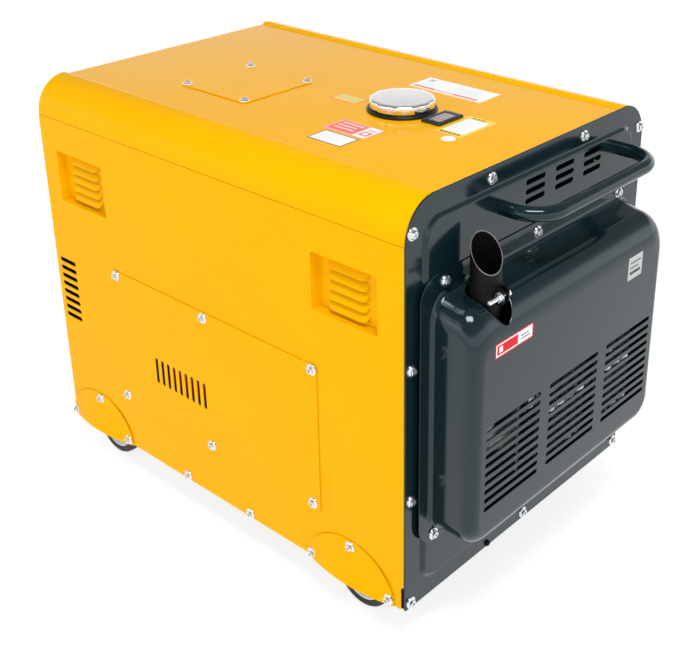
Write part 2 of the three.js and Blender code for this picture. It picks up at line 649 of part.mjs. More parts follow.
// Fuel gauge: a bezel on the roof, a stem into the tank, and the pin that its float arm turns on.
const FLOAT_PIVOT = { y: GAUGE.y + 24, z: 648 };
function fuelGauge() {
  const { x, y, wide, long } = GAUGE;
  const outline = roundedPoints(x - wide / 2, y - long / 2, x + wide / 2, y + long / 2, 5, 2);
  const bezel = plate(outline, 4, TO_XY, ROOF + GAP);
  const stem = box(x - 9, x + 9, y - 15, y + 15, FLOAT_PIVOT.z - 6, ROOF + 1);
  const lug = box(x - 6, x - 1, y + 10, FLOAT_PIVOT.y + 5, FLOAT_PIVOT.z - 5, FLOAT_PIVOT.z + 5);
  const pin = rodX(x - 3, x + 8, FLOAT_PIVOT.y, FLOAT_PIVOT.z, 1.8, 10);
  return join(bezel, stem, lug, pin);
}
add("fuel_gauge", "plastic", fuelGauge());

// Float arm, hanging down at the empty mark.
function fuelFloat() {
  const arm = box(0.5, 3.5, -4, 104, -3, 3);
  const float = rodX(-14, 18, 104, 0, 13, 16);
  const eye = rodX(-2, 6, 0, 0, 2.2, 12);
  return cut(join(arm, float), eye).rotateX(-THREE.MathUtils.degToRad(22));
}
add("fuel_float", "plastic", fuelFloat(), groupAt(GAUGE.x, FLOAT_PIVOT.y, FLOAT_PIVOT.z));

// ---------------------------------------------------------------- engine and alternator
const ENGINE = { x0: -45, x1: 125, half: 105, z0: 181, z1: 392 };
const CRANK_ROOM = { x0: -15, x1: 95, radius: 74 }; // chamber in the crankcase
const CRANK = { throw: 35, pin: 17, web: 17, half: 28, x0: 5, x1: 75 };
function crankcase() {
  const c = 22;
  const outline = [
    [-ENGINE.half, ENGINE.z0],
    [ENGINE.half, ENGINE.z0],
    [ENGINE.half, ENGINE.z1 - c],
    [ENGINE.half - c, ENGINE.z1],
    [-ENGINE.half + c, ENGINE.z1],
    [-ENGINE.half, ENGINE.z1 - c],
  ].map(([y, z]) => new THREE.Vector2(y, z));
  const block = plate(outline, ENGINE.x1 - ENGINE.x0, TO_YZ, ENGINE.x0);
  const feet = box(ENGINE.x0 - 10, ENGINE.x1 + 10, -125, 125, ENGINE.z0, ENGINE.z0 + 10);
  const room = rodX(CRANK_ROOM.x0, CRANK_ROOM.x1, 0, SHAFT_HEIGHT, CRANK_ROOM.radius, 32);
  return cut(join(block, feet), room, rodX(-80, 160, 0, SHAFT_HEIGHT, SHAFT_RADIUS + 0.4));
}
add("crankcase", "castIron", crankcase());

// Finned cylinder and head, as one comb-shaped outline made thick across the engine.
function cylinderHead() {
  const [x0, x1, z0, pitch, fins] = [-5, 95, ENGINE.z1 + GAP, 18, 9];
  const left = [];
  const right = [];
  for (let i = 0; i < fins; i++) {
    const [low, high] = [z0 + i * pitch + 8, z0 + i * pitch + 13];
    right.push([x1, low], [x1 + 16, low], [x1 + 16, high], [x1, high]);
    left.push([x0, low], [x0 - 16, low], [x0 - 16, high], [x0, high]);
  }
  const top = z0 + fins * pitch + 22;
  const outline = [[x0, z0], [x1, z0], ...right, [x1, top], [x0, top], ...left.reverse()];
  return plate(outline.map(([x, z]) => new THREE.Vector2(x, z)), 120, TO_XZ, 60);
}
add("cylinder_head", "aluminium", cylinderHead());

// Crankshaft with two webs, its crank pin up, and the alternator's shaft in one line with it.
function crankshaft() {
  const shaft = rodX(-300, 185, 0, SHAFT_HEIGHT, SHAFT_RADIUS);
  const nut = rodX(185, 200, 0, SHAFT_HEIGHT, 12, 6);
  const pinZ = SHAFT_HEIGHT + CRANK.throw;
  const pin = rodX(CRANK.x0, CRANK.x1, 0, pinZ, CRANK.pin);
  const [low, high] = [SHAFT_HEIGHT - 62, pinZ + 24];
  const webs = [CRANK.x0, CRANK.x1 - CRANK.web].map((x) =>
    box(x, x + CRANK.web, -CRANK.half, CRANK.half, low, high),
  );
  return join(shaft, nut, pin, ...webs);
}
add("crankshaft", "steel", crankshaft());

// Flywheel with cooling-fan blades.
function flywheelFan() {
  const disc = rodX(140, 152, 0, SHAFT_HEIGHT, 112, 32);
  const hub = rodX(140, 178, 0, SHAFT_HEIGHT, 30, 24);
  const blades = Array.from({ length: 12 }, (_, i) =>
    box(151, 172, -2, 2, 45, 108)
      .rotateX((i * Math.PI) / 6)
      .translate(0, 0, SHAFT_HEIGHT),
  );
  return cut(join(disc, hub, ...blades), rodX(130, 190, 0, SHAFT_HEIGHT, SHAFT_RADIUS + 0.4));
}
add("flywheel_fan", "aluminium", flywheelFan());

const alongX = (profile, sides) => turned(profile, sides).rotateZ(-Math.PI / 2).translate(0, 0, SHAFT_HEIGHT);
const rotorProfile = [
  [SHAFT_RADIUS + 0.4, -262],
  [64, -262],
  [64, -92],
  [SHAFT_RADIUS + 0.4, -92],
  [SHAFT_RADIUS + 0.4, -262],
];
add("rotor", "steel", alongX(rotorProfile, 24));

// Alternator housing: a bell that is open towards the engine, on two feet.
function alternator() {
  const bell = alongX(
    [
      [SHAFT_RADIUS + 1, -292],
      [90, -292],
      [105, -275],
      [105, -62],
      [68, -62],
      [68, -278],
      [SHAFT_RADIUS + 1, -278],
      [SHAFT_RADIUS + 1, -292],
    ],
    32,
  );
  const feet = [-RAIL_Y, RAIL_Y].map((y) => box(-230, -130, y - 18, y + 18, RAIL_TOP + GAP, 262));
  const clear = rodX(-276, -60, 0, SHAFT_HEIGHT, 68, 32);
  return cut(join(bell, ...feet), clear);
}
add("alternator", "aluminium", alternator());

const mountHeight = ENGINE.z0 - RAIL_TOP - 2 * GAP;
for (const [i, [x, y]] of [[-30, -RAIL_Y], [-30, RAIL_Y], [110, -RAIL_Y], [110, RAIL_Y]].entries()) {
  const spot = groupAt(x, y, RAIL_TOP + GAP);
  add(`rubber_mount_${i + 1}`, "rubber", rodZ(0, 0, 0, mountHeight, 18, 16), spot);
}

function airCleaner() {
  return join(rodZ(45, -170, 430, 545, 50, 24), box(25, 65, -130, -60.6, 455, 500));
}
add("air_cleaner", "black", airCleaner());

function battery() {
  const posts = [-60, 60].map((x) => rodZ(x, -30, 159, 172, 8, 12));
  return join(plate(roundedPoints(-95, -62, 95, 62, 6, 2), 160), ...posts);
}
add("battery", "plastic", battery(), groupAt(-140, 195, FLOOR_TOP + GAP));

// ---------------------------------------------------------------- service door on the +Y side
const HINGE = { x: DOOR.x0 - 8, y: SIDE + 6, pin: 2.5, knuckle: 5 };
const LATCH = { x: 148, z: 330 };
function serviceDoor() {
  const outline = roundedPoints(DOOR.x0, DOOR.z0, DOOR.x1, DOOR.z1, 10, 3);
  const spindleHole = arcPoints(LATCH.x, LATCH.z, 6.6, 6.6, 0, 2 * Math.PI, 12).slice(1);
  const sheet = plate(outline, 1.8, TO_XZ, SIDE + GAP + 1.8, [spindleHole]);
  const knuckles = [[228, 258], [402, 432]].flatMap(([z0, z1]) => [
    rodZ(HINGE.x, HINGE.y, z0, z1, HINGE.knuckle, 16),
    box(HINGE.x, DOOR.x0 + 6, SIDE + GAP + 0.3, HINGE.y - 3.2, z0, z1),
  ]);
  return cut(join(sheet, ...knuckles), rodZ(HINGE.x, HINGE.y, 200, 460, HINGE.pin + 0.4, 16));
}
add("service_door", "yellow", serviceDoor());

// Fixed leaf with the hinge pin and its middle knuckle.
function doorHinge() {
  const leaf = box(HINGE.x - 24, HINGE.x - 6, SIDE + GAP, SIDE + 2.3, 215, 445);
  const knuckle = rodZ(HINGE.x, HINGE.y, 260, 400, HINGE.knuckle, 16);
  const web = box(HINGE.x - 7, HINGE.x, SIDE + GAP + 0.3, HINGE.y - 3.2, 260, 400);
  const pin = rodZ(HINGE.x, HINGE.y, 220, 440, HINGE.pin, 16);
  return join(leaf, knuckle, web, pin);
}
add("door_hinge", "zinc", doorHinge());

// Quarter-turn latch: a grip outside, a spindle through the door and a tongue inside.
function doorLatch() {
  const plateRound = rodY(0, 2.5, 5.5, 0, 22, 24);
  const grip = box(-5, 5, 5, 13.8, -19, 19);
  const spindle = rodY(0, -8.5, 3, 0, 6, 16);
  const tongue = box(-6, 6, -8.5, -5.5, -42, 6);
  return join(plateRound, grip, spindle, tongue);
}
add("door_latch", "plastic", doorLatch(), groupAt(LATCH.x, SIDE, LATCH.z));

// ---------------------------------------------------------------- controls on the -X end
const PANEL_X = -END - FIELD_RISE - GAP; // back face of the control panel
const FACE_X = PANEL_X - 3;
const SOCKETS = [-105, -30].map((y) => ({ y, z: 445, half: 27 }));
const BREAKER = { y: 60, z: 445 };
const STOP = { y: 115, z: 445 };
const KEY = { y: 110, z: 540 };

function controlPanel() {
  const sheet = plate(roundedPoints(-160, 385, 160, 590, 12, 3), 3, TO_YZ, FACE_X);
  const socketBlocks = SOCKETS.map(({ y, z, half }) =>
    box(FACE_X - 9, FACE_X + 1, y - half, y + half, z - half, z + half),
  );
  const breaker = cut(
    box(FACE_X - 14, FACE_X + 1, BREAKER.y - 18, BREAKER.y + 18, BREAKER.z - 34, BREAKER.z + 34),
    box(FACE_X - 15, FACE_X - 2, BREAKER.y - 7, BREAKER.y + 7, BREAKER.z - 18, BREAKER.z + 18),
  );
  const collar = rodX(FACE_X - 7, FACE_X + 1, STOP.y, STOP.z, 14, 20);
  const lock = rodX(FACE_X - 5, FACE_X + 1, KEY.y, KEY.z, 13, 20);
  const meter = box(FACE_X - 8, FACE_X + 1, -60, 0, 515, 565);
  const buttonHole = rodX(FACE_X - 20, FACE_X - 0.5, STOP.y, STOP.z, 9.6, 20);
  return cut(join(sheet, ...socketBlocks, breaker, collar, lock, meter), buttonHole);
}
add("control_panel", "plastic", controlPanel());

// Spring-closed socket lids, hinged along their top edges.
SOCKETS.forEach(({ y, z, half }, i) => {
  const lid = groupAt(FACE_X - 9 - GAP, y, z + half);
  add(`socket_lid_${i + 1}`, "plastic", box(-5, 0, -half, half, -2 * half, 0), lid);
});

// Main breaker's toggle, in its slot.
function breakerLever() {
  return join(rodY(0, -6, 6, 0, 5, 16), box(-20, 0, -5, 5, -3, 3)).rotateY(-THREE.MathUtils.degToRad(25));
}
add("breaker_lever", "plastic", breakerLever(), groupAt(FACE_X - 8, BREAKER.y, BREAKER.z));

add("stop_button", "red", rodX(-12, -5.5, 0, 0, 9, 20), groupAt(FACE_X, STOP.y, STOP.z));

function keySwitch() {
  return join(rodX(-4, 0, 0, 0, 9, 20), box(-26, -3, -1.2, 1.2, -3.5, 3.5), rodY(-30, -1.8, 1.8, 0, 10, 20));
}
add("key_switch", "zinc", keySwitch(), groupAt(FACE_X - 5 - GAP, KEY.y, KEY.z));

// ---------------------------------------------------------------- castors
const wheelHalf = WHEEL_WIDTH / 2;
const AXLE = 5;
const LEG = { inside: wheelHalf + 3, thick: 3 };
const wheelProfile = [
  [AXLE + 0.4, -wheelHalf - 1.5],
  [13, -wheelHalf - 1.5],
  [16, -wheelHalf + 3],
  [34, -wheelHalf + 3],
  [37, -wheelHalf],
  [46, -wheelHalf],
  [WHEEL_RADIUS, -wheelHalf + 4],
  [WHEEL_RADIUS, wheelHalf - 4],
  [46, wheelHalf],
  [37, wheelHalf],
  [34, wheelHalf - 3],
  [16, wheelHalf - 3],
  [13, wheelHalf + 1.5],
  [AXLE + 0.4, wheelHalf + 1.5],
  [AXLE + 0.4, -wheelHalf - 1.5],
];

// Two tapering legs from a crown at `top` down to the axle, and the axle pin itself.
function castorLegs(top, axleX, reach) {
  const half = 26;
  const outline = [
    ...arcPoints(axleX, WHEEL_RADIUS, 13, 13, Math.PI, 2 * Math.PI, 6),
    new THREE.Vector2(half, top),
    new THREE.Vector2(Math.min(-half, axleX - 14), top),
  ];
  const legs = [LEG.inside + LEG.thick, -LEG.inside].map((y) => plate(outline, LEG.thick, TO_XZ, y));
  return [...legs, rodY(axleX, -reach, reach, WHEEL_RADIUS, AXLE, 12)];
}

function fixedCastor(name, x, y) {
  const castor = groupAt(x, y, 0);
  const top = FLOOR_TOP - 4 - GAP;
  const mount = box(-45, 45, -26, 26, top - 4, top);
  add(`castor_bracket_${name}`, "zinc", join(mount, ...castorLegs(top - 3, 0, 21)), castor);
  add(`wheel_${name}`, "rubber", turned(wheelProfile, 24), groupAt(0, 0, WHEEL_RADIUS, castor));
}

// Swivel castor whose wheel trails towards -X, with a brake pedal hung on the axle.
const TRAIL = 22;
function swivelCastor(name, x, y) {
  const castor = groupAt(x, y, 0);
  const crown = rodZ(0, 0, 109, 115, 27, 16);
  const kingpin = rodZ(0, 0, 113, 119.7, 12, 12);
  add(`castor_fork_${name}`, "zinc", join(crown, kingpin, ...castorLegs(112, -TRAIL, 22)), castor);
  const axle = groupAt(-TRAIL, 0, WHEEL_RADIUS, castor);
  add(`wheel_${name}`, "rubber", turned(wheelProfile, 24), axle);
  const armY = LEG.inside + LEG.thick + GAP;
  const arms = [-armY - 2, armY].map((from) => box(-72, 10, from, from + 2, -5, 7));
  const pedal = box(-80, -54, -armY - 2, armY + 2, 2, 7);
  const eye = rodY(0, -30, 30, 0, AXLE + 0.4, 12);
  add(`brake_pedal_${name}`, "zinc", cut(join(...arms, pedal), eye), axle);
}

for (const [name, side] of [["service", -1], ["door", 1]]) {
  fixedCastor(`exhaust_${name}`, ARCH.exhaustX, side * STEER.y);
  swivelCastor(`control_${name}`, STEER.x, side * STEER.y);
}

export default generator;
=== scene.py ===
"""Looks of the enclosed portable generator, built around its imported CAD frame.

Sizes below are in millimetres, in the part's frame: +X is the exhaust end, -Y the service side
and z = 0 the ground. Meshes are scaled to metres as they are made."""

import json
import math

import bmesh
import bpy
from mathutils import Matrix, Vector


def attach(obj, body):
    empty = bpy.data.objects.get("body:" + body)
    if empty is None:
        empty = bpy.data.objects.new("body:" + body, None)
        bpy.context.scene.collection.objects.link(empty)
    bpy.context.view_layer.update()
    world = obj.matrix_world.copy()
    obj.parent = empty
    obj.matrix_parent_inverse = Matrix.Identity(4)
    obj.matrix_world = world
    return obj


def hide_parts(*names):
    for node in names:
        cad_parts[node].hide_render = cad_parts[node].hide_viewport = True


MM = 0.001
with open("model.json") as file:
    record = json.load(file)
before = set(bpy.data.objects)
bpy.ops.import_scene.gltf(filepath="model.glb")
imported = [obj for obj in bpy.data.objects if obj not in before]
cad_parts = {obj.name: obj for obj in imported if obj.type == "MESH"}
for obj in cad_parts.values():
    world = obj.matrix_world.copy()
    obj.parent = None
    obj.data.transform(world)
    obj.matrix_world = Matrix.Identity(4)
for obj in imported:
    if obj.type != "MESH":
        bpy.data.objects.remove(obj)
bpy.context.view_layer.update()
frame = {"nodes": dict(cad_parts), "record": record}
link = bpy.context.scene.collection.objects.link

# ---------------- driving dimensions
END = 395.0  # outer face of the end panels' rims
SIDE = 278.0  # outer face of the side sheets
BOTTOM = 62.0
ROOF = 682.0
CREST = 686.0
SEAM = 628.0
CORNER = 55.0
SHEET_END = 392.0
FIELD_RISE = 5.0
COVER_DEPTH = 80.0
COVER_EASE = 0.02  # leaves room for the labels within the object's box
WHEEL_RADIUS = 50.0
PIPE = (435.0, -167.0)
FILLER = (145.0, 2.0)
GAUGE = (219.0, 6.0)
HATCH = (-127.0, -61.0)

# ---------------- camera
AZIMUTH, ELEVATION, ROLL = (math.radians(a) for a in (41.236, 23.827, -0.014))
camera_data = bpy.data.cameras.new("camera")
camera_data.lens = 59.98
camera_data.shift_x = -0.071
camera_data.shift_y = -0.14
camera_data.clip_end = 100
camera = bpy.data.objects.new("camera", camera_data)
stand = Matrix.Translation((1.23622, -1.24876, 1.22756)) @ Matrix.Rotation(AZIMUTH, 4, "Z")
tilt = Matrix.Rotation(math.pi / 2 - ELEVATION, 4, "X") @ Matrix.Rotation(ROLL, 4, "Z")
camera.matrix_world = stand @ tilt
link(camera)
bpy.context.scene.camera = camera
bpy.context.scene.view_settings.view_transform = "Standard"

# ---------------- materials
FINISHES = {}


def material(name, color, roughness, metallic=0.0, coat=0.0, grain=(0, 0), tint=0.0, **more):
    """A procedural finish: grain is (scale per metre, bump depth in metres), tint a slow variation.

    more may hold scale (of the tint's noise), spread (of the roughness), specular, edge (the
    specular tint) and soot (where the noise passes from near-black painted shade to the finish's own
    colour)."""
    made = bpy.data.materials.new(name)
    made.use_nodes = True
    tree = made.node_tree
    shader = tree.nodes["Principled BSDF"]
    shader.inputs["Base Color"].default_value = (*color, 1)
    shader.inputs["Roughness"].default_value = roughness
    shader.inputs["Metallic"].default_value = metallic
    shader.inputs["Coat Weight"].default_value = coat
    shader.inputs["Coat Roughness"].default_value = 0.06
    shader.inputs["Specular IOR Level"].default_value = more.get("specular", 0.5)
    shader.inputs["Specular Tint"].default_value = (*more.get("edge", (1, 1, 1)), 1)
    place = tree.nodes.new("ShaderNodeTexCoord").outputs["Object"]

    def noise(scale, detail, vector):
        made = tree.nodes.new("ShaderNodeTexNoise")
        made.inputs["Scale"].default_value = scale
        made.inputs["Detail"].default_value = detail
        tree.links.new(vector, made.inputs["Vector"])
        return made.outputs["Fac"]

    # Near-black noise patches laid over the colour: painted shade.
    if "soot" in more:
        stretch = tree.nodes.new("ShaderNodeMapping")
        stretch.inputs["Scale"].default_value = (1, 0.5, 4)
        tree.links.new(place, stretch.inputs["Vector"])
        clean = tree.nodes.new("ShaderNodeValToRGB")
        shades = ((0.008, 0.008, 0.008), color)
        for stop, position, shade in zip(clean.color_ramp.elements, more["soot"], shades):
            stop.position, stop.color = position, (*shade, 1)
        tree.links.new(noise(more["scale"], 2, stretch.outputs["Vector"]), clean.inputs["Fac"])
        tree.links.new(clean.outputs["Color"], shader.inputs["Base Color"])
    if tint:
        slow = noise(more.get("scale", 6.0), 5, place)
        mix = tree.nodes.new("ShaderNodeMix")
        mix.data_type = "RGBA"
        mix.inputs["A"].default_value = (*[c * (1 - tint) for c in color], 1)
        mix.inputs["B"].default_value = (*[min(1, c * (1 + tint)) for c in color], 1)
        tree.links.new(slow, mix.inputs["Factor"])
        tree.links.new(mix.outputs["Result"], shader.inputs["Base Color"])
        if "spread" in more:
            spread = tree.nodes.new("ShaderNodeMapRange")
            spread.inputs["To Min"].default_value = roughness - more["spread"]
            spread.inputs["To Max"].default_value = roughness + more["spread"]
            tree.links.new(slow, spread.inputs["Value"])
            tree.links.new(spread.outputs["Result"], shader.inputs["Roughness"])
    if grain[0]:
        bump = tree.nodes.new("ShaderNodeBump")
        bump.inputs["Distance"].default_value = grain[1]
        bump.inputs["Strength"].default_value = 1
        tree.links.new(noise(grain[0], 3, place), bump.inputs["Height"])
        tree.links.new(bump.outputs["Normal"], shader.inputs["Normal"])
    FINISHES[name] = made
    return made


YELLOW = material(
    "yellow_paint", (0.89, 0.432, 0.001), 0.12, grain=(420, 0.00001), tint=0.03, spread=0.03,
    edge=(1, 0.5, 0.0), specular=0.05
)
# Dark red: painted shade, the yellow baffle behind the access plate's slots as it looks in shadow.
BAFFLE_SHADE = material(
    "baffle_painted_shade", (0.30, 0.022, 0.002), 0.6, grain=(800, 0.00003), tint=0.2, scale=40, specular=0.1
)
SLATE = material(
    "slate_paint", (0.0035, 0.013, 0.0165), 0.11, grain=(260, 0.00002), tint=0.15, spread=0.03,
    edge=(0.86, 0.95, 1)
)
BLACK = material(
    "black_paint", (0.0035, 0.0032, 0.003), 0.5, grain=(900, 0.00008), tint=0.3, scale=30,
    spread=0.1, specular=0.16
)
WORN = material(
    "worn_edge", (0.20, 0.19, 0.18), 0.45, metallic=0.8, grain=(900, 0.0001), tint=0.4, scale=90,
    spread=0.15
)
# Near-black: real soot inside the tail pipe, and painted shade on the sheet behind the exhaust end's upper
# slots.
SOOT_AND_SHADE = material("soot", (0.003, 0.003, 0.003), 0.9, grain=(700, 0.0002), tint=0.3, scale=60, specular=0.05)
CHROME = material("chrome", (0.80, 0.79, 0.78), 0.07, metallic=1.0, grain=(60, 0.00001), tint=0.02)
SATIN = material(
    "satin_chrome", (0.90, 0.86, 0.84), 0.3, metallic=1.0, grain=(2200, 0.00002), tint=0.04, scale=25,
    spread=0.05
)
ZINC = material(
    "zinc", (0.76, 0.77, 0.79), 0.2, metallic=1.0, grain=(1500, 0.00004), tint=0.1, scale=120, spread=0.08
)
STEEL = material(
    "steel", (0.36, 0.35, 0.34), 0.38, metallic=1.0, grain=(300, 0.00008), tint=0.25, scale=18, spread=0.12
)
# The foil's near-black patches are painted shade, for the dark inside behind the muffler cover's slots.
FOIL = material(
    "foil", (0.60, 0.61, 0.62), 0.26, metallic=1.0, grain=(110, 0.0012), soot=(0.56, 0.66), scale=16
)
IRON = material(
    "cast_iron", (0.055, 0.056, 0.060), 0.6, metallic=0.4, grain=(500, 0.0003), tint=0.2, scale=12
)
ALUMINIUM = material(
    "aluminium", (0.42, 0.43, 0.44), 0.42, metallic=0.9, grain=(600, 0.00015), tint=0.1, scale=20
)
RUBBER = material(
    "rubber", (0.004, 0.004, 0.004), 0.42, grain=(1200, 0.00006), tint=0.3, scale=40, spread=0.1,
    specular=0.3
)
TYRE = material(
    "tyre", (0.016, 0.013, 0.012), 0.5, grain=(1400, 0.00006), tint=0.25, scale=35, spread=0.08,
    specular=0.35
)
HUB = material("hub_plastic", (0.62, 0.63, 0.65), 0.35, grain=(1200, 0.00004), tint=0.05, scale=30)
PLASTIC = material(
    "plastic", (0.006, 0.0062, 0.0065), 0.36, grain=(1800, 0.00005), tint=0.12, scale=25, specular=0.4
)
GREY_PLASTIC = material(
    "grey_plastic", (0.42, 0.43, 0.44), 0.45, grain=(1500, 0.00005), tint=0.06, scale=30
)
RED = material("red_plastic", (0.52, 0.012, 0.012), 0.3, coat=0.4, grain=(900, 0.00003), tint=0.05)
GREEN = material("green_lamp", (0.01, 0.3, 0.05), 0.18, coat=0.6, grain=(400, 0.00002), tint=0.1)


def sticker(name, color, **more):
    return material(name, color, 0.35, grain=(900, 0.00001), **more)


WHITE_LABEL = sticker("white_label", (0.92, 0.92, 0.92), tint=0.02)
BLACK_LABEL = sticker("black_label", (0.02, 0.02, 0.02), tint=0.05)
RED_LABEL = sticker("red_label", (0.74, 0.008, 0.02), tint=0.04, specular=0.12)
ORANGE_LABEL = sticker("orange_label", (0.90, 0.11, 0.05), tint=0.04)
YELLOW_LABEL = sticker("yellow_label", (0.86, 0.60, 0.03), tint=0.03)
GREY_LABEL = sticker("grey_label", (0.50, 0.50, 0.50), tint=0.03)
GLASS = material("meter_glass", (0.30, 0.265, 0.25), 0.1, grain=(40, 0.00001), tint=0.04)

for part in frame["record"]["subparts"]:
    mesh = frame["nodes"][part["node"]].data
    mesh.materials.clear()
    mesh.materials.append(FINISHES[part["material_slot"]])

# ---------------- mesh helpers
PLANES = {
    "XY": Matrix.Identity(3),  # drawn as (x, y), thick towards +Z
    "YZ": Matrix(((0, 0, 1), (1, 0, 0), (0, 1, 0))),  # drawn as (y, z), thick towards +X
    "XZ": Matrix(((1, 0, 0), (0, 0, 1), (0, 1, 0))),  # drawn as (x, z), thick towards +Y
}


def arc(u, v, ru, rv, start, end, steps):
    """Points on an ellipse, with angles in degrees."""
    turns = [math.radians(start + (end - start) * i / steps) for i in range(steps + 1)]
    return [(u + ru * math.cos(a), v + rv * math.sin(a)) for a in turns]


def rounded(u0, v0, u1, v1, radius, steps=6):
    corners = [(u1, v1), (u0, v1), (u0, v0), (u1, v0)]
    points = []
    for i, (u, v) in enumerate(corners):
        cu = u - radius if u == u1 else u + radius
        cv = v - radius if v == v1 else v + radius
        points += arc(cu, cv, radius, radius, 90 * i, 90 * i + 90, steps)
    return points


def centred(u, v, half_u, half_v, radius, steps=6):
    return rounded(u - half_u, v - half_v, u + half_u, v + half_v, radius, steps)


def hexagon(u, v, radius):
    return arc(u, v, radius, radius, 0, 300, 5)


def oblong(u, v, length, width, upright=False, steps=8):
    """A slot with round ends, level or upright."""
    half, r = length / 2, width / 2
    if upright:
        half, r = r, half
    return centred(u, v, half, r, width / 2 * 0.999, steps)


class Form:
    """Gathers the surfaces of one piece, in millimetres."""

    def __init__(self):
        self.points, self.faces, self.finish = [], [], []
        self.current = 0

    def use(self, index):
        self.current = index
        return self

    def add(self, points, faces):
        base = len(self.points)
        self.points += [Vector(p) for p in points]
        self.faces += [[base + i for i in f] for f in faces]
        self.finish += [self.current] * len(faces)
        return self

    def loft(self, rings, closed=True, cap=(False, False), cyclic=False):
        n = len(rings[0])
        faces = []
        rows = len(rings) if cyclic else len(rings) - 1
        for r in range(rows):
            for i in range(n if closed else n - 1):
                j, s = (i + 1) % n, (r + 1) % len(rings)
                faces.append((r * n + i, r * n + j, s * n + j, s * n + i))
        if cap[0]:
            faces.append(tuple(range(n - 1, -1, -1)))
        if cap[1]:
            faces.append(tuple((len(rings) - 1) * n + i for i in range(n)))
        return self.add([p for ring in rings for p in ring], faces)

    def lathe(self, profile, centre=(0, 0, 0), axis="Z", sides=32, closed=True):
        """Turns a profile of (radius, height) pairs about an axis through centre."""
        basis = {"Z": ((1, 0, 0), (0, 1, 0), (0, 0, 1)), "X": ((0, 1, 0), (0, 0, 1), (1, 0, 0))}
        basis["Y"] = ((0, 0, 1), (1, 0, 0), (0, 1, 0))
        e1, e2, e3 = (Vector(v) for v in basis[axis])
        rings = []
        for k in range(sides):
            a = 2 * math.pi * k / sides
            spoke = e1 * math.cos(a) + e2 * math.sin(a)
            rings.append([Vector(centre) + spoke * r + e3 * h for r, h in profile])
        return self.loft(rings, closed=closed, cyclic=True)

    def disc(self, radius, low, high, centre, axis, sides):
        """A plain round slab between two heights on an axis."""
        profile = [(0, low), (radius, low), (radius, high), (0, high)]
        return self.lathe(profile, centre, axis, sides, closed=False)

    def sweep(self, path, radius, sides=20, caps=True):
        """A round bar along a dense path; radius is one number or one per point."""
        path = [Vector(p) for p in path]
        radii = radius if isinstance(radius, list) else [radius] * len(path)
        heading = (path[1] - path[0]).normalized()
        side = heading.orthogonal().normalized()
        rings = []
        for i, p in enumerate(path):
            before, after = path[max(i - 1, 0)], path[min(i + 1, len(path) - 1)]
            ahead = (after - before).normalized()
            side = (side - ahead * side.dot(ahead)).normalized()
            other = ahead.cross(side)
            ring = []
            for k in range(sides):
                a = 2 * math.pi * k / sides
                ring.append(p + (side * math.cos(a) + other * math.sin(a)) * radii[i])
            rings.append(ring)
        return self.loft(rings, cap=(caps, caps))

    def prism(self, outline, plane, start, end, bevel=0.0):
        """A solid with a flat outline between two levels, its edges broken by a small bevel."""
        turn = PLANES[plane]
        middle = Vector((0, 0))
        for p in outline:
            middle += Vector(p) / len(outline)

        def ring(level, inset):
            out = []
            for p in outline:
                q = Vector(p) - middle
                q -= Vector([math.copysign(min(abs(c), inset), c) for c in q])
                out.append(turn @ Vector((*(q + middle), level)))
            return out

        if bevel:
            levels = [(start, bevel), (start + bevel, 0), (end - bevel, 0), (end, bevel)]
        else:
            levels = [(start, 0), (end, 0)]
        return self.loft([ring(*pair) for pair in levels], cap=(True, True))

    def box(self, x0, x1, y0, y1, z0, z1, bevel=0.4):
        outline = [(x0, y0), (x1, y0), (x1, y1), (x0, y1)]
        return self.prism(outline, "XY", z0, z1, min(bevel, (z1 - z0) / 3))

    def place(self, other, matrix):
        """Adds a moved copy of another form."""
        base = self.current
        for index in sorted(set(other.finish)):
            faces = [f for f, k in zip(other.faces, other.finish) if k == index]
            self.current = base + index
            self.add([matrix @ p for p in other.points], faces)
        self.current = base
        return self

    def mesh(self, name):
        made = bpy.data.meshes.new(name)
        made.from_pydata([p * MM for p in self.points], [], self.faces)
        made.polygons.foreach_set("material_index", self.finish)
        return cleaned(made)


def cleaned(made):
    """Merges doubled points, drops loose ones and turns every face outwards."""
    tidy = bmesh.new()
    tidy.from_mesh(made)
    bmesh.ops.remove_doubles(tidy, verts=tidy.verts, dist=2e-6)
    bmesh.ops.recalc_face_normals(tidy, faces=tidy.faces)
    bmesh.ops.delete(tidy, geom=[v for v in tidy.verts if not v.link_faces], context="VERTS")
    tidy.to_mesh(made)
    tidy.free()
    return made


def evaluated(obj):
    """The mesh of an object once its curve or modifiers are worked out."""
    bpy.context.view_layer.update()
    return bpy.data.meshes.new_from_object(obj.evaluated_get(bpy.context.evaluated_depsgraph_get()))


def sheet(name, outline, holes, plane, start, thickness, bevel=0.5):
    """Sheet metal with punched holes and broken edges, as a mesh."""
    curve = bpy.data.curves.new(name, "CURVE")
    curve.dimensions = "2D"
    curve.fill_mode = "BOTH"
    curve.extrude = (thickness / 2 - bevel) * MM
    curve.bevel_depth = bevel * MM
    curve.bevel_resolution = 1
    curve.offset = -bevel * MM
    for points in [outline, *holes]:
        spline = curve.splines.new("POLY")
        spline.points.add(len(points) - 1)
        for point, (u, v) in zip(spline.points, points):
            point.co = (u * MM, v * MM, 0, 1)
        spline.use_cyclic_u = True
    holder = bpy.data.objects.new(name, curve)
    link(holder)
    made = evaluated(holder)
    bpy.data.objects.remove(holder)
    made.transform(Matrix.Translation((0, 0, (start + thickness / 2) * MM)))
    made.transform(PLANES[plane].to_4x4())
    return cleaned(made)


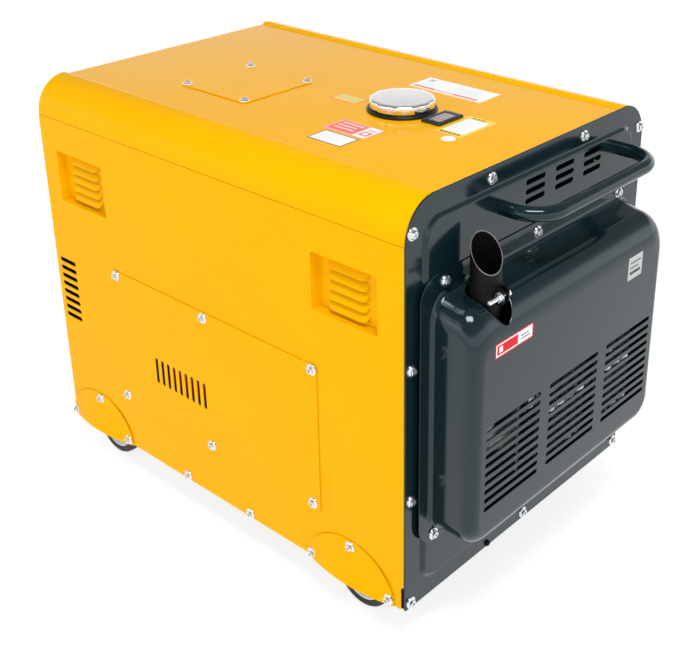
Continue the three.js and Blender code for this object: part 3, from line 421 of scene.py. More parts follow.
def piece(name, made, finishes, body="housing", replaces=(), sharp=35, weighted=True):
    """Makes the object of a mesh or form, gives it its finish and lets it ride on a body."""
    data = made.mesh(name) if isinstance(made, Form) else made
    data.name = name
    kept = [face.material_index for face in data.polygons]
    data.materials.clear()
    for finish in finishes if isinstance(finishes, list) else [finishes]:
        data.materials.append(finish)
    data.polygons.foreach_set("material_index", kept)
    data.shade_smooth()
    data.set_sharp_from_angle(angle=math.radians(sharp))
    obj = bpy.data.objects.new(name, data)
    link(obj)
    if weighted:
        obj.modifiers.new("even_shading", "WEIGHTED_NORMAL").keep_sharp = True
    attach(obj, body)
    if replaces:
        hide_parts(*([replaces] if isinstance(replaces, str) else replaces))
    return obj


def carve(made, cutter, name="carved"):
    """Cuts a form's solids out of a mesh and returns the new mesh."""
    target = bpy.data.objects.new(name, made.mesh(name) if isinstance(made, Form) else made)
    tool = bpy.data.objects.new(name + "_tool", cutter.mesh(name + "_tool"))
    for o in (target, tool):
        link(o)
    cut = target.modifiers.new("cut", "BOOLEAN")
    cut.operation, cut.solver, cut.object = "DIFFERENCE", "EXACT", tool
    result = evaluated(target)
    for o in (target, tool):
        bpy.data.objects.remove(o)
    return result


def combined(*meshes):
    """Joins meshes that share one list of finishes."""
    joint = bmesh.new()
    for made in meshes:
        joint.from_mesh(made)
    result = bpy.data.meshes.new("combined")
    joint.to_mesh(result)
    joint.free()
    return result


# ---------------- screws
def screw_form():
    """A zinc hexagon flange screw on a washer, with a cross recess, standing on z = 0."""
    head = Form()
    levels = ((2.2, 5.7), (5.3, 5.7), (6.0, 5.0))
    head.loft([[(u, v, z) for u, v in hexagon(0, 0, r)] for z, r in levels], cap=(True, True))
    cross = [(0.8, 0.8), (0.8, 3.4), (-0.8, 3.4), (-0.8, 0.8), (-3.4, 0.8), (-3.4, -0.8), (-0.8, -0.8)]
    cross += [(-0.8, -3.4), (0.8, -3.4), (0.8, -0.8), (3.4, -0.8), (3.4, 0.8)]
    carved = carve(head, Form().prism(cross, "XY", 4.2, 8.0))
    form = Form()
    form.add([v.co / MM for v in carved.vertices], [list(p.vertices) for p in carved.polygons])
    form.lathe([(3.4, 0), (8.8, 0), (9.0, 0.3), (8.8, 1.2), (3.4, 1.3)], sides=28)
    form.lathe([(0, 1.1), (7.0, 1.1), (7.1, 1.8), (6.0, 2.6), (0, 2.6)], sides=28, closed=False)
    return form


SCREW = screw_form()


def screws(name, places, axis, level, body="housing", scale=1.0):
    """Screws on a face: places are in-plane coordinates, axis the way the heads point, such as "-Y"."""
    sign = -1 if axis[0] == "-" else 1
    direction = Vector({"X": (sign, 0, 0), "Y": (0, sign, 0), "Z": (0, 0, sign)}[axis[-1]])
    turn = direction.to_track_quat("Z", "Y").to_matrix().to_4x4()
    form = Form()
    for i, (u, v) in enumerate(places):
        spot = {"X": (level, u, v), "Y": (u, level, v), "Z": (u, v, level)}[axis[-1]]
        twist = Matrix.Rotation(math.radians(17 + 67 * i), 4, "Z")
        form.place(SCREW, Matrix.Translation(spot) @ turn @ twist @ Matrix.Scale(scale, 4))
    return piece(name, form, ZINC, body, weighted=False)


# ---------------- roof
def roof_ring(x, inset):
    centre = -SIDE + CORNER
    half = arc(centre, SEAM, CORNER - inset, CREST - SEAM - inset, 180, 90, 20)
    fall = ((1.8, CREST - 0.3), (3.4, CREST - 1.5), (4.8, ROOF + 1.0), (6.2, ROOF + 0.3), (8.4, ROOF))
    half += [(centre + u, z - inset) for u, z in fall]
    outside = half + [(-y, z) for y, z in reversed(half)]
    inner = [(y * (1 - 2.0 / SIDE), z - (2.0 if z > SEAM + 1 else 0)) for y, z in outside]
    return [(x, y, z) for y, z in outside + inner[::-1]]


def build_roof():
    form = Form()
    levels = [(SHEET_END, 1.6), (SHEET_END - 0.5, 0.8), (SHEET_END - 1.6, 0.2), (SHEET_END - 3, 0)]
    stations = [(-x - END + SHEET_END, i) for x, i in levels] + [(-200, 0), (0, 0), (200, 0)] + levels[::-1]
    form.loft([roof_ring(x, i) for x, i in stations], cap=(True, True))
    holes = Form()
    holes.disc(45, -30, 30, (*FILLER, ROOF), "Z", 48)
    holes.box(GAUGE[0] - 13, GAUGE[0] + 13, GAUGE[1] - 19, GAUGE[1] + 19, ROOF - 30, ROOF + 30, bevel=0)
    piece("roof_sheet", carve(form, holes), YELLOW, replaces="roof_cover", sharp=40)
    x, y = HATCH
    plate = sheet("hatch_plate", centred(x, y, 75, 75, 8), [], "XY", ROOF + 0.3, 1.5, 0.35)
    piece("hatch_plate", plate, YELLOW, replaces="roof_hatch")
    places = [(x + u, y + v) for u, v in ((-67, -67), (67, -67), (67, 67), (-67, 67))]
    screws("hatch_screws", places, "Z", ROOF + 1.8, scale=0.9)


# ---------------- side sheets
SIDE_NAMES = {-1: "service", 1: "door"}
WINDOWS = [(-295, BOTTOM + 468), (287, BOTTOM + 468)]
ARCHES = [290, -311]
LOUVRE_DEPTH = 11.5


def side_outline():
    arch = []
    for x in reversed(ARCHES):
        arch += arc(x, BOTTOM, 74, 59, 180, 0, 24)
    corner = [(SHEET_END - 5, BOTTOM), (SHEET_END - 5, BOTTOM + 37), (SHEET_END, BOTTOM + 41)]
    return [(-END, BOTTOM), *arch, *corner, (SHEET_END, SEAM - 0.8), (-END, SEAM - 0.8)]


def build_side(side, opening):
    label = SIDE_NAMES[side]
    holes = [centred(x, z, 60, 43, 3, 3) for x, z in WINDOWS]
    holes += [oblong(-363, BOTTOM + 204 + 15 * i, 44, 8) for i in range(8)]
    holes.append(rounded(*opening, 10))
    start = -SIDE if side < 0 else SIDE - 2
    plate = sheet(f"side_{label}", side_outline(), holes, "XZ", start, 2.0, 0.5)
    piece(f"side_sheet_{label}", plate, YELLOW, replaces=f"side_panel_{label}")


def louvre_form(length, height, depth):
    """One pressed louvre: a half-bowl with round ends that opens downwards, in (u, w, v) with w outwards."""
    form = Form()
    columns, rows = 28, 10
    outer, inner = [], []
    for c in range(columns + 1):
        u = -length / 2 + length * c / columns
        edge = max(0.0, (abs(u) - (length / 2 - height * 0.8)) / (height * 0.8))
        taper = math.sqrt(max(0.0, 1 - edge * edge))
        for rim, reach in ((outer, depth), (inner, max(depth - 1.0, 0.1))):
            column = []
            for r in range(rows + 1):
                t = r / rows
                bulge = reach * taper * math.sin(t * math.pi / 2) ** 0.85
                column.append((u, bulge, height / 2 - height * t * (0.35 + 0.65 * taper)))
            rim.append(column)
    form.loft(outer, closed=False)
    form.loft(inner, closed=False)
    lip = [[a[-1], b[-1]] for a, b in zip(outer, inner)]
    form.loft(lip, closed=False)
    return form


def build_louvres(side, window, end):
    label = SIDE_NAMES[side]
    x, z = window
    face, depth = SIDE - 2.3, LOUVRE_DEPTH
    pitch, length = 15.2, 74

    def out(w):
        return side * (face - w)

    form = Form()
    flange = [centred(x, z, 68, 51, 3, 3), centred(x, z, 60.5, 43.5, 3, 3)]
    form.loft([[(u, out(0), v) for u, v in flange[0]], [(u, out(0), v) for u, v in flange[1]]])
    steps = [(0.0, 60.5), (1.0, 60.0), (depth - 2.5, 60.0), (depth - 0.7, 59.3), (depth, 57.5)]
    rings = []
    for w, half in steps:
        k = half / 60.5
        rings.append([(x + (u - x) * k, out(w), z + (v - z) * k) for u, v in flange[1]])
    form.loft(rings)
    tilt = Matrix(((1, 0, 0, 0), (0, side, 0, 0), (0, 0, 1, 0), (0, 0, 0, 1)))
    holes = []
    for i in range(5):
        level = z + (i - 2) * pitch
        spot = Matrix.Translation((x - 1, out(depth), level))
        form.place(louvre_form(length, 12.5, 6.5), spot @ tilt)
        holes.append(centred(x - 1, level - 2.95, length / 2 - 7, 2.45, 1.5, 3))
    inside = min(out(depth), out(depth + 1))
    outline = centred(x, z, 57.6, 40.9, 3, 3)
    floor_plate = sheet("louvre_floor", outline, holes, "XZ", inside, 1.0, 0.1)
    walls = form.mesh("louvre_walls")
    made = combined(walls, floor_plate)
    node = f"louvre_tray_{end}_{label}"
    piece(f"louvres_{end}_{label}", made, YELLOW, replaces=node, weighted=False)


def build_arch(side, x, end):
    label = SIDE_NAMES[side]
    form = Form()
    rows, columns, thick = 16, 36, 1.5
    layers = []
    for inset in (0.0, thick):
        grid = []
        for r in range(rows + 1):
            rise = r / rows * 1.45
            half, z = 86 * math.cos(rise), 71 * math.sin(rise)
            row = []
            for c in range(columns + 1):
                u = 2 * c / columns - 1
                bow = 12 * (1 - (u * half / 86) ** 2) * (1 - z / 71) ** 1.5
                row.append((x + u * half, side * (SIDE + 0.3 + thick - inset + bow), BOTTOM + z))
            grid.append(row)
        layers.append(grid)
        form.loft(grid, closed=False)
    outer, inner = layers
    border = [(r, 0) for r in range(rows + 1)] + [(rows, c) for c in range(1, columns + 1)]
    border += [(r, columns) for r in range(rows - 1, -1, -1)] + [(0, c) for c in range(columns - 1, -1, -1)]
    form.loft([[outer[r][c], inner[r][c]] for r, c in border], closed=False)
    piece(f"arch_{end}_{label}", form, YELLOW, replaces=f"arch_cover_{end}_{label}")


ACCESS = (-228, BOTTOM + 88, 233, BOTTOM + 337)


def build_service_side():
    x0, z0, x1, z1 = ACCESS
    build_side(-1, (x0 + 22, z0 + 22, x1 - 22, z1 - 22))
    slots = [oblong(-135 + 14.7 * i, BOTTOM + 186, 46, 7, upright=True) for i in range(9)]
    plate = sheet("access", rounded(*ACCESS, 10), slots, "XZ", -SIDE - 1.8, 1.5, 0.35)
    piece("access_plate", plate, YELLOW, replaces="access_panel")
    # The baffle's dark red is painted shade, standing in for yellow sheet in shadow.
    baffle = Form()
    tilt = [(-258, BOTTOM + 145), (-258.8, BOTTOM + 145), (-266.8, BOTTOM + 216), (-266, BOTTOM + 216)]
    baffle.prism(tilt, "YZ", -124, 4)
    piece("slot_baffle", baffle, BAFFLE_SHADE)
    places = [
        (x0 + 6, z1 - 8), (-7, z1 - 9), (x1 - 8, z1 - 7), (x0 + 4, z0 + 16), (-7, z0 + 12),
        (x1 - 14, z0 + 14)
    ]
    screws("access_screws", places, "-Y", -SIDE - 1.8)
    screws("service_foot_screws", [(-78, BOTTOM + 8), (74, BOTTOM + 8)], "-Y", -SIDE)
    build_arch_screws(-1)


def build_arch_screws(side):
    label = SIDE_NAMES[side]
    axis = "-Y" if side < 0 else "Y"
    low = [(x + dx, BOTTOM + 9) for x in ARCHES for dx in (-76, 76)]
    screws(f"arch_foot_screws_{label}", low, axis, side * (SIDE + 3.2))
    screws(f"arch_top_screws_{label}", [(x + 2, BOTTOM + 61) for x in ARCHES], axis, side * (SIDE + 1.9))


# ---------------- end panels
def panel_ring(x, grow, inside=False):
    """The end panel's outline as a ring of points; inside makes it fit within the side sheets."""
    if inside:
        half = SIDE - 2.3 + grow
        top = arc(SIDE - CORNER, SEAM, CORNER - 2.3 + grow, CREST - SEAM - 2.3 + grow, 0, 84, 11)
        top.append((SIDE - CORNER - 5, ROOF - 2.3 + grow))
    else:
        half = SIDE + grow
        top = arc(SIDE - CORNER, SEAM, CORNER + grow, CREST - SEAM + grow, 0, 90, 12)
    ring = top + [(-y, z) for y, z in reversed(top)]
    foot = arc(3 + grow - half, BOTTOM + 3, 3 + grow, 3 + grow, 180, 270, 12)
    return [(x, y, z) for y, z in ring + foot + [(-y, z) for y, z in reversed(foot)]]


def field_ring(x, inset, radius):
    points = rounded(-247 + inset, BOTTOM + 29 + inset, 247 - inset, BOTTOM + 595 - inset, radius, 12)
    return [(x, y, z) for y, z in points]


def build_end_panel(sign, cutter, node):
    end = "exhaust" if sign > 0 else "control"
    form, inside = Form(), sign < 0
    edge = [(END - 2, -0.4), (END - 1.6, 0), (END - 0.5, 0), (END, -0.5)]
    rings = [panel_ring(x, grow, inside) for x, grow in edge]
    rings.append(field_ring(END, -0.5, 31))
    for i in range(1, 11):
        t = i / 10
        rings.append(field_ring(
            END + FIELD_RISE * (0.5 - 0.5 * math.cos(math.pi * t)), 8 * t - 0.5, 31 - 4 * t
        ))
    form.loft(rings, cap=(False, True))
    backs = [
        field_ring(END + FIELD_RISE - 1.8, 8.5, 27), field_ring(END - 2, 1.5, 30),
        panel_ring(END - 2, -0.4, inside)
    ]
    form.loft(backs, cap=(True, False))
    made = carve(form, cutter)
    if sign < 0:
        made.transform(Matrix.Rotation(math.pi, 4, "Z"))
    piece(f"end_panel_{end}", made, SLATE, replaces=node)


def slot_cutter(centres, length, width, upright=False):
    form = Form()
    for y, z in centres:
        form.prism(oblong(y, z, length, width, upright), "YZ", END - 20, END + 20)
    return form


def build_exhaust_end():
    cutter = slot_cutter([(y, BOTTOM + z) for y in (-12.5, 58.5, 130) for z in (580, 566, 552)], 46, 8)
    for y in (-90, 0, 90):
        cutter.prism(centred(y, BOTTOM + 52, 40, 20, 6), "YZ", END - 20, END + 20)
    cutter.disc(22, -20, 20, (END, 35, 340), "X", 32)
    build_end_panel(1, cutter, "exhaust_end_panel")
    edge = [
        (-266, 581.5), (-266, 388.6), (-266, 184.5), (-266, 10), (3, 11), (266, 11), (-107, 607.5),
        (111, 607.5), (266, 581.5), (266, 388.6), (266, 184.5)
    ]
    screws("exhaust_rim_screws", [(y, BOTTOM + z) for y, z in edge], "X", END)
    plug = Form().lathe(
        [(0, 0), (5, 0), (5, 2), (3, 4), (0, 4.4)], (END, -88, BOTTOM + 6), "X", 20, closed=False
    )
    piece("rim_plug", plug, BLACK)


# ---------------- handles
def handle_path(centre, half, bend, root, reach, z, sign):
    path = [(root, centre - half)]
    path += [(root + (reach - bend - root) * t, centre - half) for t in (0.3, 0.7, 1.0)]
    path += arc(reach - bend, centre - half + bend, bend, bend, -90, 0, 14)[1:]
    path += [(reach, centre + (half - bend) * t) for t in (-0.6, 0, 0.6)]
    path += arc(reach - bend, centre + half - bend, bend, bend, 0, 90, 14)
    path += [(reach - bend - (reach - bend - root) * t, centre + half) for t in (0.3, 0.7, 1.0)]
    return [(sign * x, sign * y, z) for x, y in path]


def build_handle(end, sign, centre, node):
    root, reach = END + FIELD_RISE + 0.2, END + COVER_DEPTH - 10.5
    form = Form()
    form.sweep(handle_path(centre, 150, 48, root, reach, BOTTOM + 561, sign), 10.5, 28)
    piece(f"handle_tube_{end}", form, SLATE, replaces=node, sharp=60)


# ---------------- muffler cover
def cover_ring(depth):
    """The bowl's outline at a depth from the rim plane: half width, foot, top and corner radius."""
    a = max(0.0, (depth - 60) / 20)
    roll = 20 * (1 - math.sqrt(max(0.0, 1 - a * a)))
    flare = 0.0
    if depth < 14:
        flare = 7 - math.sqrt(max(0.0, 49 - (14 - depth) ** 2))
    b = max(0.0, (depth - 40) / 40)
    slope_end = BOTTOM + 484 - 0.25 * 35
    if depth <= 40:
        top = BOTTOM + 484 - 0.25 * (depth - 5)
    else:
        top = BOTTOM + 424 + (slope_end - BOTTOM - 424) * math.sqrt(max(0.0, 1 - b * b))
    return 235 - roll + flare, BOTTOM + 116 + roll - flare, top + flare, 34 - roll * 0.5 + flare


def build_cover():
    form = Form()
    half, foot, top, radius = 257, BOTTOM + 99, BOTTOM + 514, 34

    def ring(x, h, low, high, r):
        return [(END + x, y, z) for y, z in rounded(-h, low, h, high, r, 12)]

    def flange(x, inset):
        return ring(x, half - inset, foot + inset, top - inset, radius)

    rings = [flange(*pair) for pair in ((5.4, 0.6), (5.9, 0), (6.5, 0), (7.0, 0.6))]
    depths = [
        7.0, 7.4, 8.0, 9.0, 10.5, 12.2, 14, 22, 31, 40, 44, 48, 52, 56, 60, 63, 66, 68.5, 71, 73, 75, 76.5,
        77.8, 78.8, 79.5, 79.9, 80
    ]
    for depth in depths:
        h, low, high, r = cover_ring(depth)
        rings.append(ring(depth - max(0.0, depth - 60) * COVER_EASE, h, low, high, r))
    form.loft(rings, cap=(False, True))
    inner = [flange(5.4, 0.6)]
    for depth in (5.4, 14, 30, 45, 58, 66, 72, 75.5, 77.5):
        h, low, high, r = cover_ring(max(depth + 2, 14))
        inner.append(ring(depth, h - 2, low + 2, high - 2, r - 2))
    form.loft(inner, cap=(False, True))
    cutter = Form()
    for y in (-146, -0.5, 145):
        for i in range(10):
            cutter.prism(oblong(y, BOTTOM + 175 + 14.2 * i, 124, 7.2), "YZ", END + 60, END + 100)
    hole = rounded(END + 12, PIPE[1] - 25, END + 77, PIPE[1] + 25, 24.9, 12)
    cutter.prism(hole, "XY", BOTTOM + 400, BOTTOM + 520)
    piece(
        "muffler_cover_shell", carve(form, cutter), SLATE, replaces="muffler_cover", sharp=42
    )
    lip = []
    for u, v in rounded(END + 11.6, PIPE[1] - 25.4, END + 77.4, PIPE[1] + 25.4, 25.3, 12):
        lip.append((u, v, cover_ring(max(u - END, 14))[2] - 0.35))
    edge = Form().sweep(lip + lip[:1], 0.8, 8, caps=False)
    mark = [(u, v, cover_ring(u - END)[2] - 0.25) for u, v in arc(END + 26, -50, 6, 6, 45, 315, 3)]
    for start, end in zip(mark, mark[1:] + mark[:1]):
        edge.sweep([start, [(a + b) / 2 for a, b in zip(start, end)], end], 0.6, 8)
    piece("cover_edges", edge, SLATE, weighted=False)
    places = [(-208.5, 499), (-5.4, 499), (207, 494), (-226.5, 110.7), (226.5, 110.7), (0, 107)]
    screws("cover_screws", [(y, BOTTOM + z) for y, z in places], "X", END + 7)


# ---------------- tail pipe
def build_pipe():
    x, y = PIPE
    top, drop, foot = BOTTOM + 557.0, 46.0, BOTTOM + 440.0
    form = Form()

    def ring(radius, slashed, shift=0.0):
        out = []
        for u, v in arc(0, 0, radius, radius, 0, 360 - 360 / 48, 47):
            ahead = 0.885 * u - 0.466 * v
            z = top - drop / 2 - drop / 42 * ahead + shift if slashed else foot
            out.append((x + u, y + v, z))
        return out

    form.loft([ring(19.8, False), ring(21, False), ring(21, True, -0.4)])
    form.use(1).loft([ring(21, True, -0.4), ring(20.8, True), ring(20.1, True), ring(19.8, True, -0.4)])
    form.use(2).loft([ring(19.8, True, -0.4), ring(19.8, False)])
    form.use(0)
    for side in (-7, 4):
        ear = [(18, 470), (30, 470), (34, 474), (34, 490), (30, 494), (18, 494)]
        outline = [(x + u, BOTTOM + z) for u, z in ear]
        form.prism(outline, "XZ", y + side, y + side + 3, 0.5)
    band = [(21.0, 468), (22.6, 468.6), (22.6, 495.4), (21.0, 496)]
    form.lathe([(r, BOTTOM + z) for r, z in band], (x, y, 0), "Z", 48)
    piece("tail_pipe_tube", form, [BLACK, WORN, SOOT_AND_SHADE], replaces="tail_pipe")
    bolt = Form()
    z = BOTTOM + 482
    thread = [(0, -30)]
    for i in range(16):
        thread += [(3.0, -29.5 + i), (2.55, -29.0 + i)]
    thread += [(3.0, -13), (3.0, 12), (0, 12)]
    bolt.lathe(thread, (x + 28, y, z), "Y", 16, closed=False)
    for start, end in ((-13, -7.6), (7.6, 12)):
        bolt.prism(hexagon(x + 28, z, 5.8), "XZ", y + start, y + end, 0.6)
    bolt.lathe([(3.2, -7.6), (7.5, -7.6), (7.5, -7.1), (3.2, -7.1)], (x + 28, y, z), "Y", 24)
    piece("clamp_screw", bolt, ZINC, replaces="clamp_bolt")


# ---------------- filler cap and gauge
def build_filler():
    x, y = FILLER
    base = ROOF + 6.2
    form = Form()
    lobes, sides = 12, 12 * 14
    steps = [
        (36, 0.0, 0), (47.4, 0.0, 0.3), (49.3, 0.6, 0.8), (49.6, 1.8, 1), (49.6, 10.4, 1), (49.1, 11.7, 1),
        (47.8, 12.5, 0.8), (46.2, 12.8, 0.3), (42, 13.1, 0), (37.6, 13.0, 0), (34, 13.05, 0),
        (20, 13.25, 0), (6, 13.35, 0), (0, 13.35, 0)
    ]
    rings = []
    for radius, height, wave in steps:
        ring = []
        for k in range(sides):
            a = 2 * math.pi * k / sides
            r = radius - wave * 1.7 * (0.5 - 0.5 * math.cos(lobes * a)) ** 2.2
            ring.append((x + r * math.cos(a), y + r * math.sin(a), base + height))
        rings.append(ring)
    form.loft(rings[:7])
    form.use(1).loft(rings[6:])
    form.use(0)
    skirt = [(0, -10), (38.5, -10), (38.8, -9.5), (38.8, 0), (36, 0.01)]
    form.lathe(skirt, (x, y, base), sides=48, closed=False)
    piece("filler_cap", form, [CHROME, SATIN], "fuel_cap", "fuel_cap", sharp=50, weighted=False)
    ring = Form()
    profile = [
        (44.5, 0.3), (52.8, 0.3), (53.5, 1.0), (53.5, 2.6), (52.6, 4.2), (50.8, 5.4), (49.6, 5.7),
        (44.5, 5.7)
    ]
    ring.lathe([(r, ROOF + h) for r, h in profile], (x, y, 0), sides=64)
    piece("filler_ring", ring, RUBBER, replaces="filler_gasket", sharp=50)


def build_gauge():
    x, y = GAUGE
    form = Form()
    rings = []
    for half_x, half_y, height, radius in (
        (18, 29, 0.3, 4), (18, 29, 2.6, 4), (17.2, 28.2, 3.8, 3.6), (16, 27, 4.2, 3), (12, 21, 4.2, 1.5),
        (11.4, 20.4, 3.2, 1)
    ):
        rings.append([(u, v, ROOF + height) for u, v in centred(x, y, half_x, half_y, radius, 5)])
    form.loft(rings, cap=(True, False))
    form.box(x - 9, x + 9, y - 15, y + 15, 642, ROOF + 0.3)
    form.box(x - 6, x - 1, y + 10, y + 29, 643, 653)
    form.lathe([(0, -3), (1.8, -3), (1.8, 8), (0, 8)], (x, y + 24, 648), "X", 16)
    form.use(1)
    form.prism(centred(x, y, 11.5, 20.5, 1, 3), "XY", ROOF + 2.0, ROOF + 3.1)
    form.use(2)
    for i in range(5):
        level = y - 16 + 8 * i
        form.box(x - 8, x - 4, level - 0.4, level + 0.4, ROOF + 3.1, ROOF + 3.2, bevel=0.02)
    form.use(3)
    form.box(x - 2, x + 8, y - 9, y - 7.6, ROOF + 3.15, ROOF + 3.3, bevel=0.02)
    piece(
        "gauge_bezel", form, [PLASTIC, GLASS, BLACK_LABEL, RED_LABEL], replaces="fuel_gauge",
        weighted=False
    )


# ---------------- labels
def stamper(form, plane, level, thick=0.12, lift=0):
    """Returns a function that lays a thin rectangle of one finish on a face."""

    def stamp(index, u0, v0, u1, v1, proud=0.0):
        outline = [(u0, v0 + lift), (u1, v0 + lift), (u1, v1 + lift), (u0, v1 + lift)]
        form.use(index).prism(outline, plane, level + proud, level + proud + thick)

    return stamp


def bars(stamp, index, u, v, pitch, height, lengths, proud=0.0):
    """A stack of thin bars in place of lines of words."""
    for i, length in enumerate(lengths):
        stamp(index, u, v + pitch * i, u + length, v + pitch * i + height, proud)


def build_labels():
    """Plain stickers with blocks and bars instead of words."""
    form = Form()
    level = ROOF + 0.02
    top = stamper(form, "XY", level)
    top(1, 124, -177, 188, -138)
    top(0, 126, -175, 186, -140, 0.1)
    bars(top, 3, 131, -146, -7, 1, (44, 36, 48, 28), 0.16)
    top(2, 111, -133, 192, -87)
    top(0, 112.5, -131.5, 190.5, -88.5, 0.08)
    top(2, 114, -130, 166, -90, 0.16)
    bars(top, 0, 120, -99, -10, 2.5, (40, 34, 38), 0.22)
    top(2, 171, -124, 187, -108, 0.16)
    top(0, 175, -120, 183, -112, 0.22)
    top(2, 171, -102, 187, -99, 0.16)
    top(2, 24, -27, 75, 3)
    top(4, 26, -25, 73, 1, 0.1)
    bars(top, 3, 30, -7, -6, 1.4, (38, 30, 35), 0.16)
    top(0, 71, 102, 212, 157)
    top(2, 76, 107, 118, 113, 0.1)
    top(2, 118, 108.5, 156, 111.5, 0.1)
    top(2, 156, 107, 202, 113, 0.1)
    top(3, 80, 140, 90, 150, 0.1)
    bars(top, 3, 80, 121, 6, 0.8, (22, 26, 20), 0.1)
    bars(top, 3, 142, 121, 7, 0.9, (56, 48, 60, 44), 0.1)
    top(4, 240, -39, 290, 45)
    top(0, 246, -27, 284, 33, 0.1)
    bars(top, 3, 250, -20, 9, 1, (26, 30, 22, 28, 24, 30), 0.16)
    for i in range(5):
        top(1, 247 + 7.5 * i, -35, 252 + 7.5 * i, -31, 0.1)
    for i in range(3):
        top(1, 250 + 8 * i, 37, 256 + 8 * i, 40, 0.1)
    for index, radius, low, high in ((0, 10.6, 0, 0.12), (3, 5.4, 0.1, 0.2), (0, 4.6, 0.18, 0.25)):
        form.use(index).prism(arc(278, -53, radius, radius, 0, 351, 39), "XY", level + low, level + high)
    finishes = [WHITE_LABEL, BLACK_LABEL, ORANGE_LABEL, GREY_LABEL, YELLOW_LABEL]
    piece("roof_labels", form, finishes, weighted=False)
    front = Form()
    face = stamper(front, "YZ", END + COVER_DEPTH - 20 * COVER_EASE, 0.2, BOTTOM)
    face(1, -195, 404, -112, 426)
    face(0, -193, 406, -114, 424, 0.05)
    face(1, -191, 408, -146, 422, 0.1)
    face(0, -187, 411, -179, 419, 0.15)
    bars(face, 2, -140, 411, 5, 1.5, (22, 18), 0.12)
    face(3, 129, 394, 168, 431)
    face(2, 134, 420, 163, 422, 0.1)
    face(2, 134, 412, 156, 414, 0.1)
    face(2, 134, 402, 163, 407, 0.1)
    finishes = [WHITE_LABEL, RED_LABEL, BLACK_LABEL, GREY_LABEL]
    piece("cover_labels", front, finishes, weighted=False)


# ---------------- castors
AXLE_Z = WHEEL_RADIUS
EXHAUST_CASTORS = {"service": (290, -244), "door": (290, 244)}
CONTROL_CASTORS = {"service": (-289, -244), "door": (-289, 244)}
TRAIL = 22.0


def build_wheel(label, x, y):
    centre = (x, y, AXLE_Z)
    form = Form()
    tyre = [
        (36.6, 9.0), (38.2, 10.6), (41, 11.6), (45, 11.9), (47.6, 10.8), (49.2, 8.6), (49.8, 5), (50, 0)
    ]
    form.lathe([(r, -h) for r, h in tyre[:-1]] + tyre[::-1], centre, "Y", 56)
    form.use(1)
    rim = [
        (36.8, 11.0), (35.4, 11.4), (33.6, 10.4), (32.4, 7.6), (30, 6.2), (18, 6.2), (16, 7.4),
        (14.6, 11.6), (13.4, 13.3), (9.5, 13.4), (8.8, 12.6), (5.6, 12.6)
    ]
    form.lathe([(r, h) for r, h in rim] + [(r, -h) for r, h in reversed(rim)], centre, "Y", 48)
    for i in range(6):
        rib = Form().prism([(16, -1.3), (31, -1.0), (31, 1.0), (16, 1.3)], "XZ", -9.4, 9.4, 0.5)
        turn = Matrix.Translation(centre) @ Matrix.Rotation(math.radians(60 * i), 4, "Y")
        form.place(rib, turn)
    name = f"wheel_{label}"
    piece(f"castor_wheel_{label}", form, [TYRE, HUB], name, name, sharp=40)


def castor_legs(form, x, y, top, axle_x):
    sides = arc(axle_x, AXLE_Z, 13, 13, 180, 360, 12)
    outline = sides + [(26, top), (min(-26, axle_x - 14), top)]
    outline = [(x + u, v) for u, v in outline]
    for start in (-18, 15):
        form.prism(outline, "XZ", y + start, y + start + 3, 0.6)


def axle_bolt(form, x, y, reach):
    form.disc(4.9, -18, 18, (x, y, AXLE_Z), "Y", 20)
    form.disc(8.6, 18, 18.9, (x, y, AXLE_Z), "Y", 24)
    form.disc(8.6, -18.9, -18, (x, y, AXLE_Z), "Y", 24)
    for start, end in ((18.9, reach), (-reach, -18.9)):
        form.prism(hexagon(x, AXLE_Z, 5.9), "XZ", y + start, y + end, 0.5)


def build_fixed_castor(label, x, y):
    form = Form()
    form.prism(centred(x, y, 45, 26, 6), "XY", 121.7, 125.7, 0.6)
    castor_legs(form, x, y, 122.5, 0)
    axle_bolt(form, x, y, 21)
    for u in (-36, 36):
        for v in (-18, 18):
            form.prism(hexagon(x + u, y + v, 6), "XY", 117.2, 121.9, 0.5)
            form.disc(7.6, 120.6, 121.9, (x + u, y + v, 0), "Z", 20)
    piece(f"castor_frame_{label}", form, ZINC, "housing", f"castor_bracket_{label}", weighted=False)
    build_wheel(label, x, y)


def build_swivel_castor(label, x, y):
    side = label.split("_")[1]
    fork = Form()
    crown = [
        (0, 109), (23, 109), (26.2, 110), (27, 111.6), (27, 113.6), (25, 114.8), (12.4, 115.2), (12, 117),
        (12, 119.2), (11, 119.7), (0, 119.7)
    ]
    fork.lathe(crown, (x, y, 0), "Z", 40, closed=False)
    castor_legs(fork, x, y, 111.6, -TRAIL)
    axle_bolt(fork, x - TRAIL, y, 22)
    body = f"fork_{side}"
    piece(f"castor_fork_frame_{side}", fork, ZINC, body, f"castor_fork_{label}", weighted=False)
    build_wheel(label, x - TRAIL, y)
    pedal = Form()
    ax = x - TRAIL
    for start in (-20.3, 18.3):
        arm = [
            (-72, 1.5), (-70, 6), (-66, 7), (6, 7), (9, 5), (10, 1), (9, -3), (5, -5), (-6, -5), (-30, -2),
            (-66, -1.5)
        ]
        pedal.prism([(ax + u, AXLE_Z + v) for u, v in arm], "XZ", y + start, y + start + 2, 0.4)
    pedal.use(1)
    pedal.prism(centred(ax - 67, y, 13, 20.3, 4), "XY", AXLE_Z + 2.2, AXLE_Z + 6.4, 0.8)
    for i in range(4):
        rib = ax - 75.5 + 5.5 * i
        pedal.box(rib - 0.8, rib + 0.8, y - 15, y + 15, AXLE_Z + 6.3, AXLE_Z + 7.0, 0.2)
    piece(
        f"castor_brake_{side}", pedal, [ZINC, RED], f"pedal_{side}", f"brake_pedal_{label}",
        weighted=False
    )


# ---------------- base pan
FLOOR = 126.0  # underside of the floor plate
FLOOR_THICKNESS = 4.0


